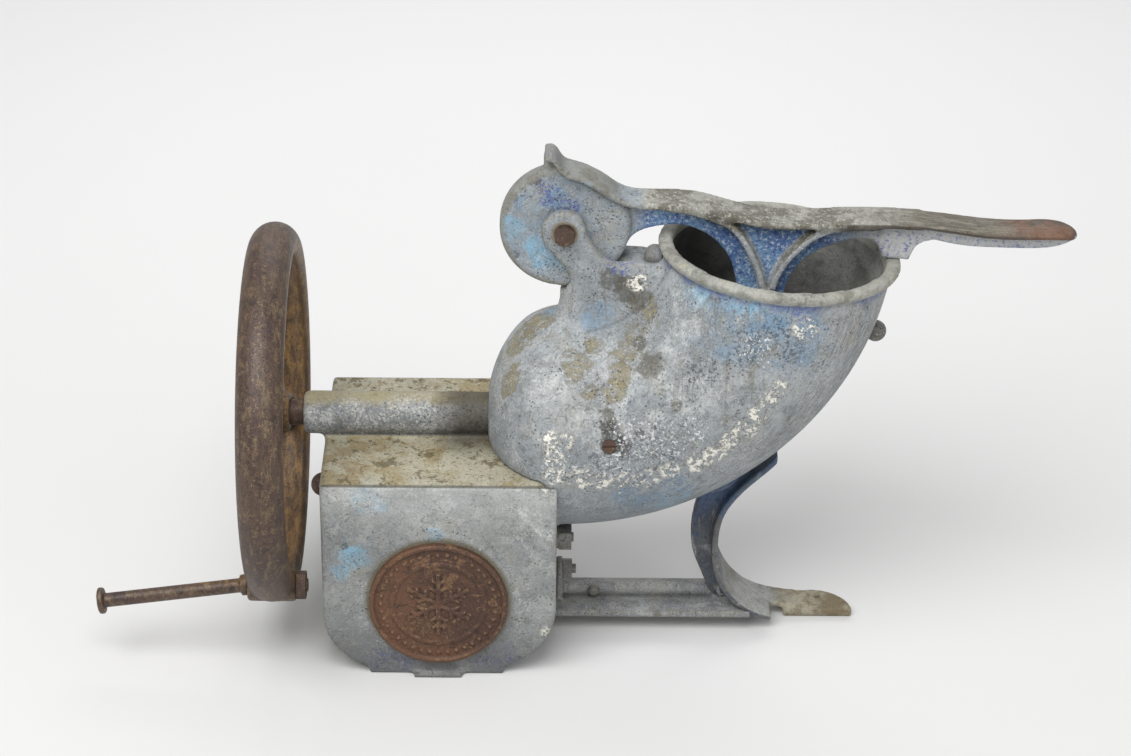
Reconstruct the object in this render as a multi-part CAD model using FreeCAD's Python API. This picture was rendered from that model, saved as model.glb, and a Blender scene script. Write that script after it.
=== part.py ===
import FreeCAD, Part
import math
import os

from FreeCAD import Rotation, Vector

# Hand cranked ice shaver. A curved hopper with a swinging pusher lever feeds ice to a knife disc,
# which a flywheel with a crank pin turns behind it, and the shaved ice falls through the hood.
# Lengths are millimetres and angles are degrees. x is measured from the lever's pivot and grows
# towards the lever's grip, y grows away from the badge side, and z is up from the floor.

# Driving dimensions: heights, hopper and mouth
pivot_z = 420.7
shaft_z = 223.0
horn_mid = pivot_z - shaft_z    # radius of the hopper's centre line about the pivot
horn_radius = 103.5             # outside of the round end that faces the knife disc
horn_wall = 6.0
mouth_side_half = 93.0          # outside half width of the oval mouth, across the lever
mouth_angle = -5.0              # slope of the mouth's plane, seen from the pivot
mouth_drop = 4.6                # how far the mouth's plane lies under the pivot's line
lip_wide = 8.0
lip_deep = 9.6
dome_length = 71.5
drum_back = -16.0
seam_step = 0.4                 # the drum and dome stand this much proud of the bent hopper
flange_ring_radius = 127.0

# Hood that the shaved ice falls through, and the shaft's tube on its roof
hood_left = -222.3
hood_right = -5.0
hood_half = 104.0
hood_top = 205.0
hood_wall = 5.0
hood_corner = 57.0
hood_corner_right = 66.0
foot_rib = 5.0
rib_reach = 64.0
tube_radius = 20.2
tube_left = -242.5
tube_right = -60.0
tube_bore = 14.0

# Shaft and flywheel
shaft_radius = 10.0
running = 0.06                  # radial clearance of a shaft in its bush
wheel_radius = 178.0            # 14 inch flywheel
wheel_x = -269.8
rim_width = 42.4
rim_edge = 163.0
rim_inside = 147.0
hub_radius = 18.5
hub_right = -255.0
hub_left = -291.0
spokes = 4
crank_radius = 162.0
crank_phase = -30.0             # from straight down, towards the badge side
crank_end = -434.0
crank_lean = 19.0               # how far the bent pin's end hangs below its root
crank_pin_radius = 6.8
crank_boss_radius = 15.5

# Knife disc
disc_radius = 96.5
disc_face = -2.0
disc_thick = 10.0
knives = 4
screw_rings = (44.0, 76.0)
knife_length = 60.0

# Lever, its hub and the two ears that carry it
hub_disc_radius = 59.0
hub_disc_half = 10.0
yoke_gap = 10.8
yoke_outer = 22.0
pivot_radius = 8.0
pivot_bush_radius = 11.0
flange_half = 18.5
flange_thick = 6.5
web_half = 4.5
lever_end = 465.5
pusher_radius = 94.0
pusher_side_half = 84.0
pusher_angle = -86.6
pusher_thick = 8.0
pusher_screw_offset = 18.0

# Leg, tie rail and badge
leg_half = 27.5
leg_half_above = 20.0
strap = 6.0
pad_thick = 9.0
foot_hole = (250.0, 21.5)
foot_hole_radius = 3.3
rail_floor = 15.8
rail_half = 31.0
rail_right = 182.0
rail_rivet_x = 31.6
badge_x = -114.4
badge_z = 80.2
badge_radius = 64.6

# Bolts and screws
bolt_radius = 4.5
bolt_hole = 4.6
flange_bolt_y = 50.0
flange_bolt_ring = 116.0
rail_bolt_z = 52.0
side_bolt = (-60.0, 180.0)
knob_angle = -20.4
knob_radius = 10.0
sunk_screw_angle = -76.6
sunk_screw_drop = -17.5
sunk_screw_radius = 6.5

pivot_x = -(crank_end + lever_end) / 2.0
parts_folder = "parts"


def v(x, y, z):
    return Vector(x, y, z)


def polar(radius, degrees):
    a = math.radians(degrees)
    return radius * math.cos(a), radius * math.sin(a)


def at_pivot(radius, degrees, y=0.0):
    x, z = polar(radius, degrees)
    return v(x, y, pivot_z + z)


def save(name, solids):
    """Write one node, moved so that the model's origin is under its middle."""
    shape = solids if isinstance(solids, Part.Shape) else Part.makeCompound(solids)
    shape = shape.copy()
    shape.translate(v(pivot_x, 0, 0))
    shape.exportStep(os.path.join(parts_folder, name + ".step"))
    print(f"{name:16s} solids {len(shape.Solids)} volume {shape.Volume:10.0f} valid {shape.isValid()}")


def one(shape):
    """The single solid of a fused or cut shape."""
    shape = shape.removeSplitter()
    if len(shape.Solids) != 1:
        print("warning: a piece has", len(shape.Solids), "solids")
        return shape
    return shape.Solids[0]


def box(x0, x1, y0, y1, z0, z1):
    return Part.makeBox(x1 - x0, y1 - y0, z1 - z0, v(x0, y0, z0))


def rod(start, end, radius):
    line = end - start
    return Part.makeCylinder(radius, line.Length, start, line)


def sleeve(start, end, outer, inner):
    return rod(start, end, outer).cut(rod(start, end, inner))


def on_shaft(x):
    return v(x, 0, shaft_z)


def prism(start, end, across_flats, sides, turn=0.0):
    """A hexagonal or square bar from start to end."""
    line = end - start
    radius = across_flats / 2.0 / math.cos(math.pi / sides)
    corners = []
    for n in range(sides + 1):
        a = math.radians(turn) + 2 * math.pi * n / sides
        corners.append(v(radius * math.cos(a), radius * math.sin(a), 0))
    bar = Part.Face(Part.makePolygon(corners)).extrude(v(0, 0, line.Length))
    bar.Placement = FreeCAD.Placement(start, Rotation(v(0, 0, 1), line))
    return bar


def circles(shape, keep=lambda centre: True):
    """The round edges of a shape whose centres pass the test."""
    round_edges = [e for e in shape.Edges if isinstance(e.Curve, Part.Circle)]
    return [e for e in round_edges if keep(e.Curve.Center)]


def spline(points):
    curve = Part.BSplineCurve()
    curve.interpolate(points)
    return curve


def path_xz(start, steps, y):
    """Edges in a plane of constant y. A step is a point, an arc (middle, end), or a list of
    points that a smooth curve runs through. Points are (x, z) with z measured from the pivot."""
    edges = []
    here = v(start[0], y, pivot_z + start[1])
    for step in steps:
        if isinstance(step, list):
            run = [here] + [v(x, y, pivot_z + z) for x, z in step]
            edges.append(spline(run).toShape())
            here = run[-1]
        elif isinstance(step[0], tuple):
            middle, end = [v(x, y, pivot_z + z) for x, z in step]
            edges.append(Part.Arc(here, middle, end).toShape())
            here = end
        else:
            end = v(step[0], y, pivot_z + step[1])
            edges.append(Part.LineSegment(here, end).toShape())
            here = end
    return edges


def plate_xz(start, steps, half):
    """A plate of the given half thickness about the middle plane."""
    wire = Part.Wire(path_xz(start, steps, -half))
    return Part.Face(wire).extrude(v(0, 2 * half, 0))


def strip(points, thick, half):
    """A flange that follows a smooth line of (x, z) points, with its thickness on the right."""
    top = [v(x, 0, pivot_z + z) for x, z in points]
    curve = spline(top)
    first, last = curve.FirstParameter, curve.LastParameter
    under = []
    for n in range(len(points) + 2):
        u = first + (last - first) * n / (len(points) + 1)
        ahead = curve.tangent(u)[0]
        under.append(curve.value(u) + v(ahead.z, 0, -ahead.x) * thick)
    near_end = Part.LineSegment(under[0], top[0]).toShape()
    far_end = Part.LineSegment(top[-1], under[-1]).toShape()
    wire = Part.Wire(Part.__sortEdges__([curve.toShape(), far_end, spline(under).toShape(), near_end]))
    band = Part.Face(wire).extrude(v(0, 2 * half, 0))
    band.translate(v(0, -half, 0))
    return band


def turned(solid, degrees):
    """A copy turned about the shaft."""
    copy = solid.copy()
    copy.rotate(on_shaft(0), v(1, 0, 0), degrees)
    return copy


# The hopper casting: horn, lip, dome, flange ring and yoke

def oval(centre, angle, radial_half, side_half):
    """An oval wire in a plane through the pivot's axis direction, long way from the pivot."""
    outward = v(math.cos(math.radians(angle)), 0, math.sin(math.radians(angle)))
    along = v(-outward.z, 0, outward.x)
    ellipse = Part.Ellipse(v(0, 0, 0), radial_half, side_half)
    quarter = math.pi / 2
    back = Part.ArcOfEllipse(ellipse, quarter, 3 * quarter)
    front = Part.ArcOfEllipse(ellipse, 3 * quarter, 5 * quarter)
    wire = Part.Wire([back.toShape(), front.toShape()])
    wire.Placement = FreeCAD.Placement(centre, Rotation(outward, v(0, 1, 0), along, "XYZ"))
    return wire


def mouth_centre(drop):
    """Middle of the mouth at a depth under its plane."""
    outward = at_pivot(horn_mid, mouth_angle)
    along = v(-math.sin(math.radians(mouth_angle)), 0, math.cos(math.radians(mouth_angle)))
    return outward - along * (mouth_drop + drop), along


def horn(inset):
    """The bent hopper, round at the knife disc and oval at the mouth."""
    sections = []
    count = 6
    for n in range(count):
        share = n / count
        angle = -90 + (90 + mouth_angle) * share
        side = horn_radius - 0.05 - (horn_radius - mouth_side_half) * share
        sections.append(oval(at_pivot(horn_mid, angle), angle, horn_radius - inset, side - inset))
    centre, along = mouth_centre(lip_deep / 2)
    sections.append(oval(centre, mouth_angle, horn_radius - inset, mouth_side_half - inset))
    return Part.makeLoft(sections, True, False)


def mouth_slab(radial_half, side_half, top, bottom):
    """An oval slab round the mouth's axis, from a depth of bottom to a height of top."""
    centre, along = mouth_centre(bottom)
    face = Part.Face(oval(centre, mouth_angle, radial_half, side_half))
    return face.extrude(along * (top + bottom))


def lip():
    """The thick rounded rim round the mouth."""
    slab = mouth_slab(horn_radius + lip_wide, mouth_side_half + lip_wide - 2.5, 0, lip_deep)
    edges = [e for e in slab.Edges if isinstance(e.Curve, Part.Ellipse)]
    return slab.makeFillet(3.8, edges)


def dome(radius, length):
    """Half an egg that points along the shaft, away from the hopper."""
    crown = v(0, 0, shaft_z + radius)
    tip = v(-length, 0, shaft_z)
    quarter = Part.Arc(Part.Ellipse(crown, tip, on_shaft(0)), 0, math.pi / 2).toShape()
    edges = [quarter, Part.makeLine(tip, on_shaft(0)), Part.makeLine(on_shaft(0), crown)]
    wire = Part.Wire(Part.__sortEdges__(edges))
    return Part.Face(wire).revolve(on_shaft(0), v(1, 0, 0), 360)


def make_hopper():
    inner = horn_radius - horn_wall
    split = hood_top + 0.2
    bore_back = disc_face - disc_thick - 1.5
    drum = rod(on_shaft(drum_back), on_shaft(0), horn_radius + seam_step)
    drum = drum.common(box(drum_back - 1, 1, -140, 140, 0, split))
    cap = dome(horn_radius + seam_step, dome_length).common(box(-120, 0, -140, 140, split, shaft_z + 140))
    body = horn(0).fuse(drum).fuse(cap).fuse(make_flange_ring()).fuse(make_yoke()).fuse(lip())
    body = body.cut(horn(horn_wall))
    body = body.cut(mouth_slab(inner, mouth_side_half - horn_wall, 6, lip_deep / 2))
    body = body.cut(rod(on_shaft(bore_back), on_shaft(0), inner + 0.5))
    hollow = dome(inner - 1, dome_length - horn_wall)
    body = body.cut(hollow.common(box(-120, bore_back, -140, 140, 0, pivot_z)))
    body = body.cut(rod(on_shaft(tube_left), on_shaft(-20), tube_radius + 0.2))
    for radius in (horn_mid - horn_radius, horn_mid + horn_radius):
        body = body.cut(rod(at_pivot(radius - 12, knob_angle), at_pivot(radius + 12, knob_angle), 4.0))
    pocket = horn_mid - horn_radius - 0.5
    body = body.cut(rod(at_pivot(pocket, knob_angle), at_pivot(pocket - 16, knob_angle), knob_radius + 0.3))
    at, out = sunk_screw_axis()
    return body.cut(rod(at - out * 4.0, at + out * 5.0, sunk_screw_radius))


def make_yoke():
    """The two ears that carry the lever, on a round neck that stands on the hopper's back."""
    outline = [
        ((0, 21.5), (17.5, 12.5)),
        [(22.8, -6.5), (30.0, -18.0), (40.0, -27.0), (52.0, -30.5)],
        (92.0, -33.0),
        (60.0, -104.0),
        (16.6, -100.0),
        [(9.0, -67.5), (6.2, -53.2), (2.5, -42.0), (-4.0, -28.9), (-14.0, -17.0), (-21.5, 0.0)],
    ]
    ears = plate_xz((-21.5, 0.0), outline, yoke_outer)
    neck_top = pivot_z - 54.0
    neck_foot = shaft_z + 82.0
    neck = Part.makeCone(28.0, 18.0, neck_top - neck_foot, v(16, 0, neck_foot), v(0, 0, 1))
    yoke = ears.fuse(neck)
    slot = rod(v(0, -yoke_gap, pivot_z), v(0, yoke_gap, pivot_z), hub_disc_radius + 3.5)
    pocket = box(50, 64, -yoke_gap, yoke_gap, pivot_z - 37, pivot_z + 5)
    left_room = box(-80, 0, -yoke_gap, yoke_gap, pivot_z - 50, pivot_z + 50)
    hole = rod(v(0, -60, pivot_z), v(0, 60, pivot_z), pivot_radius + 0.2)
    return yoke.cut([slot, pocket, left_room, hole])


def make_flange_ring():
    """The part of the hopper that lies inside the hood's end wall and takes the clamping bolts."""
    back = hood_right - hood_wall - 7.0
    front = hood_right - hood_wall - 0.1
    ring = sleeve(on_shaft(back), on_shaft(front), flange_ring_radius, horn_radius - horn_wall)
    ring = ring.common(box(back, front, -98.5, 98.5, 60, hood_top - hood_wall - 0.2))
    for y, z in flange_bolt_places():
        ring = ring.cut(rod(v(back - 1, y, z), v(front + 1, y, z), bolt_hole))
    return ring


def flange_bolt_places():
    z = shaft_z - math.sqrt(flange_bolt_ring ** 2 - flange_bolt_y ** 2)
    return [(-flange_bolt_y, z), (flange_bolt_y, z)]


def sunk_screw_axis():
    """Where the sunk screw lies in the hopper's front wall: a point on the wall and its way out."""
    across = math.sqrt(horn_radius ** 2 - sunk_screw_drop ** 2) - 1.6
    at = at_pivot(horn_mid + sunk_screw_drop, sunk_screw_angle, -across)
    return at, (at - at_pivot(horn_mid, sunk_screw_angle)).normalize()


def make_front_screw():
    at, out = sunk_screw_axis()
    head = rod(at - out * 4.0, at + out * 0.6, sunk_screw_radius)
    slot = Part.makeBox(16, 1.6, 3, v(-8, -0.8, -0.6))
    slot.Placement = FreeCAD.Placement(at, Rotation(v(0, 0, 1), out))
    return head.cut(slot)


def make_wall_bolts():
    """Round-headed bolts through the hopper's wall below the mouth."""
    bolts = []
    for radius, way in ((horn_mid - horn_radius, -1), (horn_mid + horn_radius, 1)):
        wall = at_pivot(radius, knob_angle)
        out = (at_pivot(radius + 10 * way, knob_angle) - wall).normalize()
        collar = rod(wall + out * 0.6, wall + out * 6.0, 7.0)
        head = Part.makeSphere(knob_radius, wall + out * 6.0)
        head = head.common(prism(wall + out * 0.9, wall + out * 40, 60, 4))
        stem = rod(wall - out * (horn_wall - 0.2), wall + out, 4.0)
        bolts.append(one(collar.fuse([head, stem])))
    return bolts


# The hood, its tube and bolts

def rounded_cover(inset):
    left = hood_left + inset
    right = hood_right - inset
    low = foot_rib + inset - pivot_z
    top = hood_top - inset - pivot_z
    r = hood_corner - inset
    k = r * (1 - math.sqrt(0.5))
    s = hood_corner_right - inset
    j = s * (1 - math.sqrt(0.5))
    steps = [
        (left, low + r),
        ((left + k, low + k), (left + r, low)),
        (right - s, low),
        ((right - j, low + j), (right, low + s)),
        (right, top),
        (left, top),
    ]
    return plate_xz((left, top), steps, hood_half)


def make_hood():
    """A deep cover with rounded lower corners, open at the back, with the shaft's tube on its roof."""
    cavity = rounded_cover(hood_wall)
    cavity.translate(v(0, hood_wall, 0))
    shell = rounded_cover(0).cut(cavity)
    rib_left = badge_x - rib_reach - 3
    rib_right = badge_x + rib_reach - 3
    for y0 in (-hood_half, hood_half - 9):
        shell = shell.fuse(box(rib_left, rib_right, y0, y0 + 9, 0, foot_rib + 3))
    shell = shell.fuse(box(badge_x - 24, badge_x + 23, -hood_half - 8, -hood_half, 0, foot_rib))
    barrel = rod(on_shaft(tube_left), on_shaft(tube_right), tube_radius)
    barrel = barrel.makeFillet(5.0, circles(barrel, lambda centre: centre.x < -200))
    saddle = box(hood_left, tube_right, -9, 9, hood_top - 1, shaft_z)
    shell = shell.fuse([barrel, saddle])
    shell = shell.cut(rod(on_shaft(tube_left - 1), on_shaft(tube_right + 1), tube_bore))
    shell = shell.cut(rod(on_shaft(drum_back), on_shaft(hood_right + 1), horn_radius + seam_step + 0.3))
    under_dome = dome(horn_radius - horn_wall, dome_length - horn_wall - 1)
    shell = shell.cut(under_dome.common(box(-70, drum_back + 0.5, -110, 110, 100, hood_top + 1)))
    for y, z in flange_bolt_places() + [(0, rail_bolt_z)]:
        shell = shell.cut(rod(v(hood_right - 12, y, z), v(hood_right + 2, y, z), bolt_hole))
    y, z = side_bolt
    return shell.cut(rod(v(hood_left - 2, y, z), v(hood_left + 12, y, z), 5.1))


def make_clamp_bolts():
    """Bolts that hold the hopper's flange ring in the hood, with their heads inside."""
    bolts = []
    under_head = hood_right - hood_wall - 7.0
    for y, z in flange_bolt_places():
        stem = rod(v(under_head, y, z), v(hood_right + 16, y, z), bolt_radius)
        bolts.append(one(stem.fuse(rod(v(under_head - 5, y, z), v(under_head, y, z), 8.5))))
    return bolts


def make_clamp_nuts():
    """Square nuts on round washers, outside the hood's end wall."""
    nuts = []
    for y, z in flange_bolt_places():
        washer = rod(v(hood_right + 0.1, y, z), v(hood_right + 2.2, y, z), 11)
        nut = prism(v(hood_right + 2.2, y, z), v(hood_right + 14, y, z), 17.5, 4, 45)
        hole = rod(v(hood_right - 1, y, z), v(hood_right + 20, y, z), bolt_radius)
        nuts.append(one(nut.fuse(washer).cut(hole)))
    return nuts


def make_side_bolt():
    """The round-headed bolt in the hood's left end."""
    y, z = side_bolt
    ball = Part.makeSphere(11.0, v(hood_left + 0.5, y, z))
    head = ball.common(box(hood_left - 20, hood_left - 0.1, y - 20, y + 20, z - 20, z + 20))
    return one(head.fuse(rod(v(hood_left - 2, y, z), v(hood_left + 16, y, z), 5.0)))


def make_side_nut():
    y, z = side_bolt
    inside = hood_left + hood_wall + 0.1
    nut = prism(v(inside, y, z), v(inside + 8, y, z), 16, 6)
    return nut.cut(rod(v(inside - 1, y, z), v(inside + 9, y, z), 5.0))


def make_badge():
    """A plain round badge with a raised edge and an inner ring."""
    back = -hood_half - 0.02

    def slab(depth, radius):
        return rod(v(badge_x, back, badge_z), v(badge_x, back - depth, badge_z), radius)

    rim = slab(7.5, badge_radius)
    rim = rim.makeFillet(1.5, circles(rim, lambda centre: centre.y < back - 7))
    badge = rim.cut(slab(9.0, badge_radius - 5).cut(slab(4.5, badge_radius)))
    ring = slab(5.8, 44.0).cut(slab(9.0, 41.0))
    return badge.fuse(ring)


# Shaft, wheel and crank

def make_bushes():
    """Bronze bushes at the two ends of the shaft's tube."""
    spans = [(tube_left + 1.0, tube_left + 32.0), (tube_right - 32.0, tube_right - 1.0)]
    return [sleeve(on_shaft(a), on_shaft(b), tube_bore, shaft_radius + running) for a, b in spans]


def make_shaft():
    """The shaft, with a keyway under the wheel and a tapped end for the disc's screw."""
    bar = rod(on_shaft(hub_left - 3), on_shaft(disc_face - 1.0), shaft_radius)
    bar = bar.makeChamfer(1.2, circles(bar, lambda centre: centre.x < -200))
    keyway = box(hub_left - 4, hub_right - 3, -3, 3, shaft_z + shaft_radius - 3, shaft_z + 30)
    tapped = rod(on_shaft(disc_face - 17), on_shaft(disc_face), 3.0)
    return bar.cut([keyway, tapped, disc_screw_head()])


def make_key():
    low = shaft_z + shaft_radius - 2.95
    return box(hub_left + 0.5, hub_right - 4, -2.95, 2.95, low, shaft_z + shaft_radius + 2.9)


def make_spacer():
    """The sleeve on the shaft between the wheel's hub and the tube."""
    return sleeve(on_shaft(hub_right + 0.1), on_shaft(tube_left - 0.3), 12.4, shaft_radius)


def make_collar():
    """The collar that takes the shaft's thrust at the tube's inner end."""
    return sleeve(on_shaft(tube_right + 0.3), on_shaft(tube_right + 9.5), 17.0, shaft_radius)


def rim_section():
    """A crowned tread over a hollow inner face."""
    half = rim_width / 2.0
    left_out = v(wheel_x - half, 0, shaft_z + rim_edge)
    right_out = v(wheel_x + half, 0, shaft_z + rim_edge)
    right_in = v(wheel_x + half - 6, 0, shaft_z + rim_inside)
    left_in = v(wheel_x - half + 6, 0, shaft_z + rim_inside)
    cheek = rim_inside + 6
    edges = [
        Part.Arc(left_out, v(wheel_x, 0, shaft_z + wheel_radius), right_out),
        Part.Arc(right_out, v(wheel_x + half - 1.2, 0, shaft_z + cheek), right_in),
        Part.Arc(right_in, v(wheel_x, 0, shaft_z + rim_inside + 5), left_in),
        Part.Arc(left_in, v(wheel_x - half + 1.2, 0, shaft_z + cheek), left_out),
    ]
    return Part.Wire([e.toShape() for e in edges])


def make_spoke():
    """A tapering oval arm from hub to rim, pointing down."""
    sections = []
    for reach, wide, deep in ((hub_radius - 4, 34, 17), (80, 26, 14), (rim_inside + 6, 31, 16)):
        wire = Part.Wire(Part.Ellipse(v(0, 0, 0), wide / 2.0, deep / 2.0).toShape())
        wire.Placement = FreeCAD.Placement(v(wheel_x, 0, shaft_z - reach), Rotation(v(0, 0, 1), 90))
        sections.append(wire)
    return Part.makeLoft(sections, True, False)


def make_wheel():
    rim = Part.Face(rim_section()).revolve(on_shaft(0), v(1, 0, 0), 360)
    hub = rod(on_shaft(hub_left), on_shaft(hub_right), hub_radius)
    flares = [Part.makeCone(hub_radius + 9, hub_radius, 9, on_shaft(wheel_x), v(w, 0, 0)) for w in (1, -1)]
    arms = [turned(make_spoke(), 360.0 * n / spokes + crank_phase) for n in range(spokes)]
    at = shaft_z - crank_radius
    boss = rod(v(wheel_x - 24, 0, at), v(wheel_x + 22, 0, at), crank_boss_radius)
    wheel = rim.fuse([hub] + flares + arms + [turned(boss, crank_phase)])
    bore = rod(on_shaft(hub_left - 5), on_shaft(hub_right + 5), shaft_radius)
    keyway = box(hub_left - 5, hub_right + 5, -3, 3, shaft_z, shaft_z + 13)
    hole = rod(v(wheel_x - 60, 0, at), v(wheel_x + 60, 0, at), 6.6)
    return wheel.cut([bore, keyway, turned(hole, crank_phase)])


def crank_point(x):
    """A point at height of the crank pin's root."""
    point = Part.Vertex(v(x, 0, shaft_z - crank_radius))
    point.rotate(on_shaft(0), v(1, 0, 0), crank_phase)
    return point.Point


def make_crank_pin():
    """The pin that the grip once turned on, bent a little, with an upset head."""
    rim_face = wheel_x - 24.05
    root = crank_point(rim_face)
    tip = v(crank_end + 4, root.y, root.z - crank_lean)
    line = (tip - root).normalize()
    pin = rod(root - line * 2, tip, crank_pin_radius)
    head = rod(tip - line * 1.5, tip + line * 4, 12.5)
    head = head.makeFillet(1.2, circles(head))
    shoulder = rod(root - line * 2, root + line * 6, 10.0)
    outside = pin.fuse([head, shoulder]).common(box(crank_end - 20, rim_face, -200, 0, 0, 300))
    stud = rod(root, crank_point(wheel_x + 33), 6.5)
    return one(outside.fuse(stud))


def make_crank_nut():
    a = crank_point(wheel_x + 22.1)
    b = crank_point(wheel_x + 31)
    return prism(a, b, 24, 6, 12).cut(rod(a, b, 6.5))


# Knife disc

def make_disc():
    """The knife disc: slots for the shavings, a seat beside each for its knife, and a hub behind."""
    back = disc_face - disc_thick
    plate = rod(on_shaft(back), on_shaft(disc_face), disc_radius)
    hub = rod(on_shaft(back - 20), on_shaft(back), 21)
    flare = Part.makeCone(34, 21, 8, on_shaft(back), v(-1, 0, 0))
    cuts = [rod(on_shaft(back - 30), on_shaft(disc_face - 1.0), shaft_radius), disc_screw_head()]
    for n in range(knives):
        turn = 360.0 * n / knives
        cuts.append(turned(box(back - 1, disc_face + 1, 7, 15, shaft_z + 29, shaft_z + 90), turn))
        cuts.append(turned(box(disc_face - 4.0, disc_face + 1, -13, 7.5, shaft_z + 27, shaft_z + 92), turn))
        for z in screw_rings:
            hole = rod(v(back - 9, -5, shaft_z + z), v(disc_face, -5, shaft_z + z), 2.5)
            cuts.append(turned(hole, turn))
    return plate.fuse([hub, flare]).cut(cuts)


def make_knives():
    """Flat blades ground to a bevel, set just proud of the disc."""
    proud = 1.0
    seat = disc_face - 3.95
    face = disc_face - 0.6
    outline = [(seat, -12.8), (seat, 5.0), (disc_face + proud, 11.0), (disc_face + proud - 1.0, 7.0),
               (face, 0.5), (face, -12.8)]
    corners = [v(x, y, shaft_z + 29.5) for x, y in outline]
    blade = Part.Face(Part.makePolygon(corners + corners[:1])).extrude(v(0, 0, knife_length))
    for z in screw_rings:
        blade = blade.cut(rod(v(-20, -5, shaft_z + z), v(10, -5, shaft_z + z), 2.5))
    return [turned(blade, 360.0 * n / knives) for n in range(knives)]


def make_knife_screws():
    screws = []
    top = disc_face - 0.6
    for n in range(knives):
        for z in screw_rings:
            stem = rod(v(disc_face - 9, -5, shaft_z + z), v(top, -5, shaft_z + z), 2.5)
            head = Part.makeCone(5.0, 4.2, 1.3, v(top, -5, shaft_z + z), v(1, 0, 0))
            screws.append(turned(one(stem.fuse(head)), 360.0 * n / knives))
    return screws


def disc_screw_head():
    return Part.makeCone(3.0, 8.0, 5.0, on_shaft(disc_face - 5.0), v(1, 0, 0))


def make_disc_screw():
    """The countersunk screw that holds the disc on the shaft's end."""
    return disc_screw_head().fuse(rod(on_shaft(disc_face - 16), on_shaft(disc_face - 5.0), 3.0))


# Lever, pusher and pivot

bar_top = [(2.0, 58.0), (16.0, 53.7), (34.0, 44.7), (52.0, 32.5), (73.0, 28.5), (118.0, 26.8),
           (147.0, 18.8), (180.0, 11.0), (216.0, 9.5), (250.0, 11.5), (290.0, 11.6), (324.0, 9.7)]
left_arc = [(92.0, 26.0), (114.0, 22.6), (134.0, 16.0), (154.0, 5.4), (167.0, -12.0), (176.0, -30.0),
            (183.0, -52.0), (185.5, -72.0)]
right_arc = [(187.0, -58.0), (192.0, -40.0), (204.0, -21.0), (219.0, -6.0), (236.0, 4.0), (254.0, 7.5),
             (286.0, 9.0)]


def lug_foot(x):
    """Height from the pivot at which the lug stands, just clear of the mouth's rim."""
    slope = math.radians(mouth_angle)
    return x * math.tan(slope) - mouth_drop / math.cos(slope) + 0.3


def lever_web():
    """The flat middle of the lever: bar, two curved arms that meet in a stem, and the rest lug."""
    steps = [
        (0.0, 50.0),
        [(36.0, 40.0), (52.0, 29.0), (73.0, 25.0), (118.0, 23.0), (147.0, 15.0), (180.0, 7.5),
         (216.0, 6.0), (250.0, 8.0), (326.0, 6.5)],
        (345.0, -8.0),
        [(336.0, -12.0), (323.0, -15.6), (318.2, -19.6)],
        (313.5, lug_foot(313.5)),
        (289.0, lug_foot(289.0)),
        (284.0, -16.3),
        [(271.0, -11.5), (256.0, -13.5), (233.0, -22.0), (216.0, -35.0), (206.0, -51.0), (201.0, -70.0)],
        (160.0, -70.0),
        [(156.5, -53.0), (151.5, -35.0), (138.5, -16.0), (122.0, -4.0), (104.0, 1.2), (86.0, 0.0),
         (68.0, -5.5), (55.0, -21.0)],
        (0.0, 0.0),
    ]
    return plate_xz((0.0, 0.0), steps, web_half)


def stem_ring(inner, outer, first, last, half):
    """Part of a flat ring about the pivot, between two angles."""
    ring = sleeve(v(0, -half, pivot_z), v(0, half, pivot_z), outer, inner)
    corners = [v(0, -half - 1, pivot_z)]
    for n in range(4):
        corners.append(at_pivot(2 * outer, first + (last - first) * n / 3.0, -half - 1))
    wedge = Part.Face(Part.makePolygon(corners + corners[:1])).extrude(v(0, 2 * half + 2, 0))
    return ring.common(wedge)


def grip_section(x, top, low, half):
    """A closed oval, crowned above and round below, across the grip."""
    edge = top - 0.28 * (top - low)
    points = []
    for n in range(12):
        a = 2 * math.pi * n / 12
        rise = abs(math.sin(a)) ** 0.8
        reach = (top - edge) if math.sin(a) >= 0 else (low - edge)
        across = half * math.copysign(abs(math.cos(a)) ** 0.8, math.cos(a))
        points.append(v(x, across, pivot_z + edge + reach * rise))
    curve = Part.BSplineCurve()
    curve.interpolate(Points=points, PeriodicFlag=True)
    return Part.Wire(curve.toShape())


def grip():
    """The long grip: a crowned flange with a rounded spine under it."""
    flange = [
        (314.0, 9.0, 4.6, 16.5),
        (331.0, 8.7, 1.6, 18.4),
        (346.0, 7.0, -0.8, 18.6),
        (382.0, 2.4, -6.2, 18.8),
        (424.0, 1.4, -7.6, 18.6),
        (452.0, 0.4, -8.6, 16.6),
        (lever_end - 3.0, -2.6, -10.2, 9.5),
        (lever_end, -4.8, -8.6, 3.0),
    ]
    spine = [
        (316.0, 4.5, -6.0, 5.0),
        (344.0, 1.0, -14.6, 7.0),
        (382.0, -4.0, -19.4, 8.0),
        (424.0, -5.0, -20.2, 8.0),
        (448.0, -6.0, -17.6, 7.5),
        (460.0, -8.4, -12.6, 5.0),
    ]
    lofts = []
    for stations in (flange, spine):
        lofts.append(Part.makeLoft([grip_section(*station) for station in stations], True, False))
    return lofts


def make_nub():
    """The stop that stands on the hub and meets the neck when the lever is thrown over."""
    steps = [(-19.3, 69.0), (-8.0, 69.0), [(0.5, 59.0), (14.0, 53.0)], (14.0, 40.0), (-19.3, 40.0)]
    web = plate_xz((-19.3, 40.0), steps, web_half)
    cap = strip([(-19.3, 71.5), (-8.0, 70.5), (-1.5, 60.5), (10.0, 55.8), (22.0, 51.4)], 4.5, flange_half - 1)
    return web.fuse(cap)


def foot_frame():
    """Middle of the pusher's back, the way out along the stem and the way out from the pivot."""
    angle = pusher_angle + math.degrees(pusher_thick / horn_mid)
    a = math.radians(angle)
    return at_pivot(horn_mid, angle), v(-math.sin(a), 0, math.cos(a)), v(math.cos(a), 0, math.sin(a))


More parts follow.
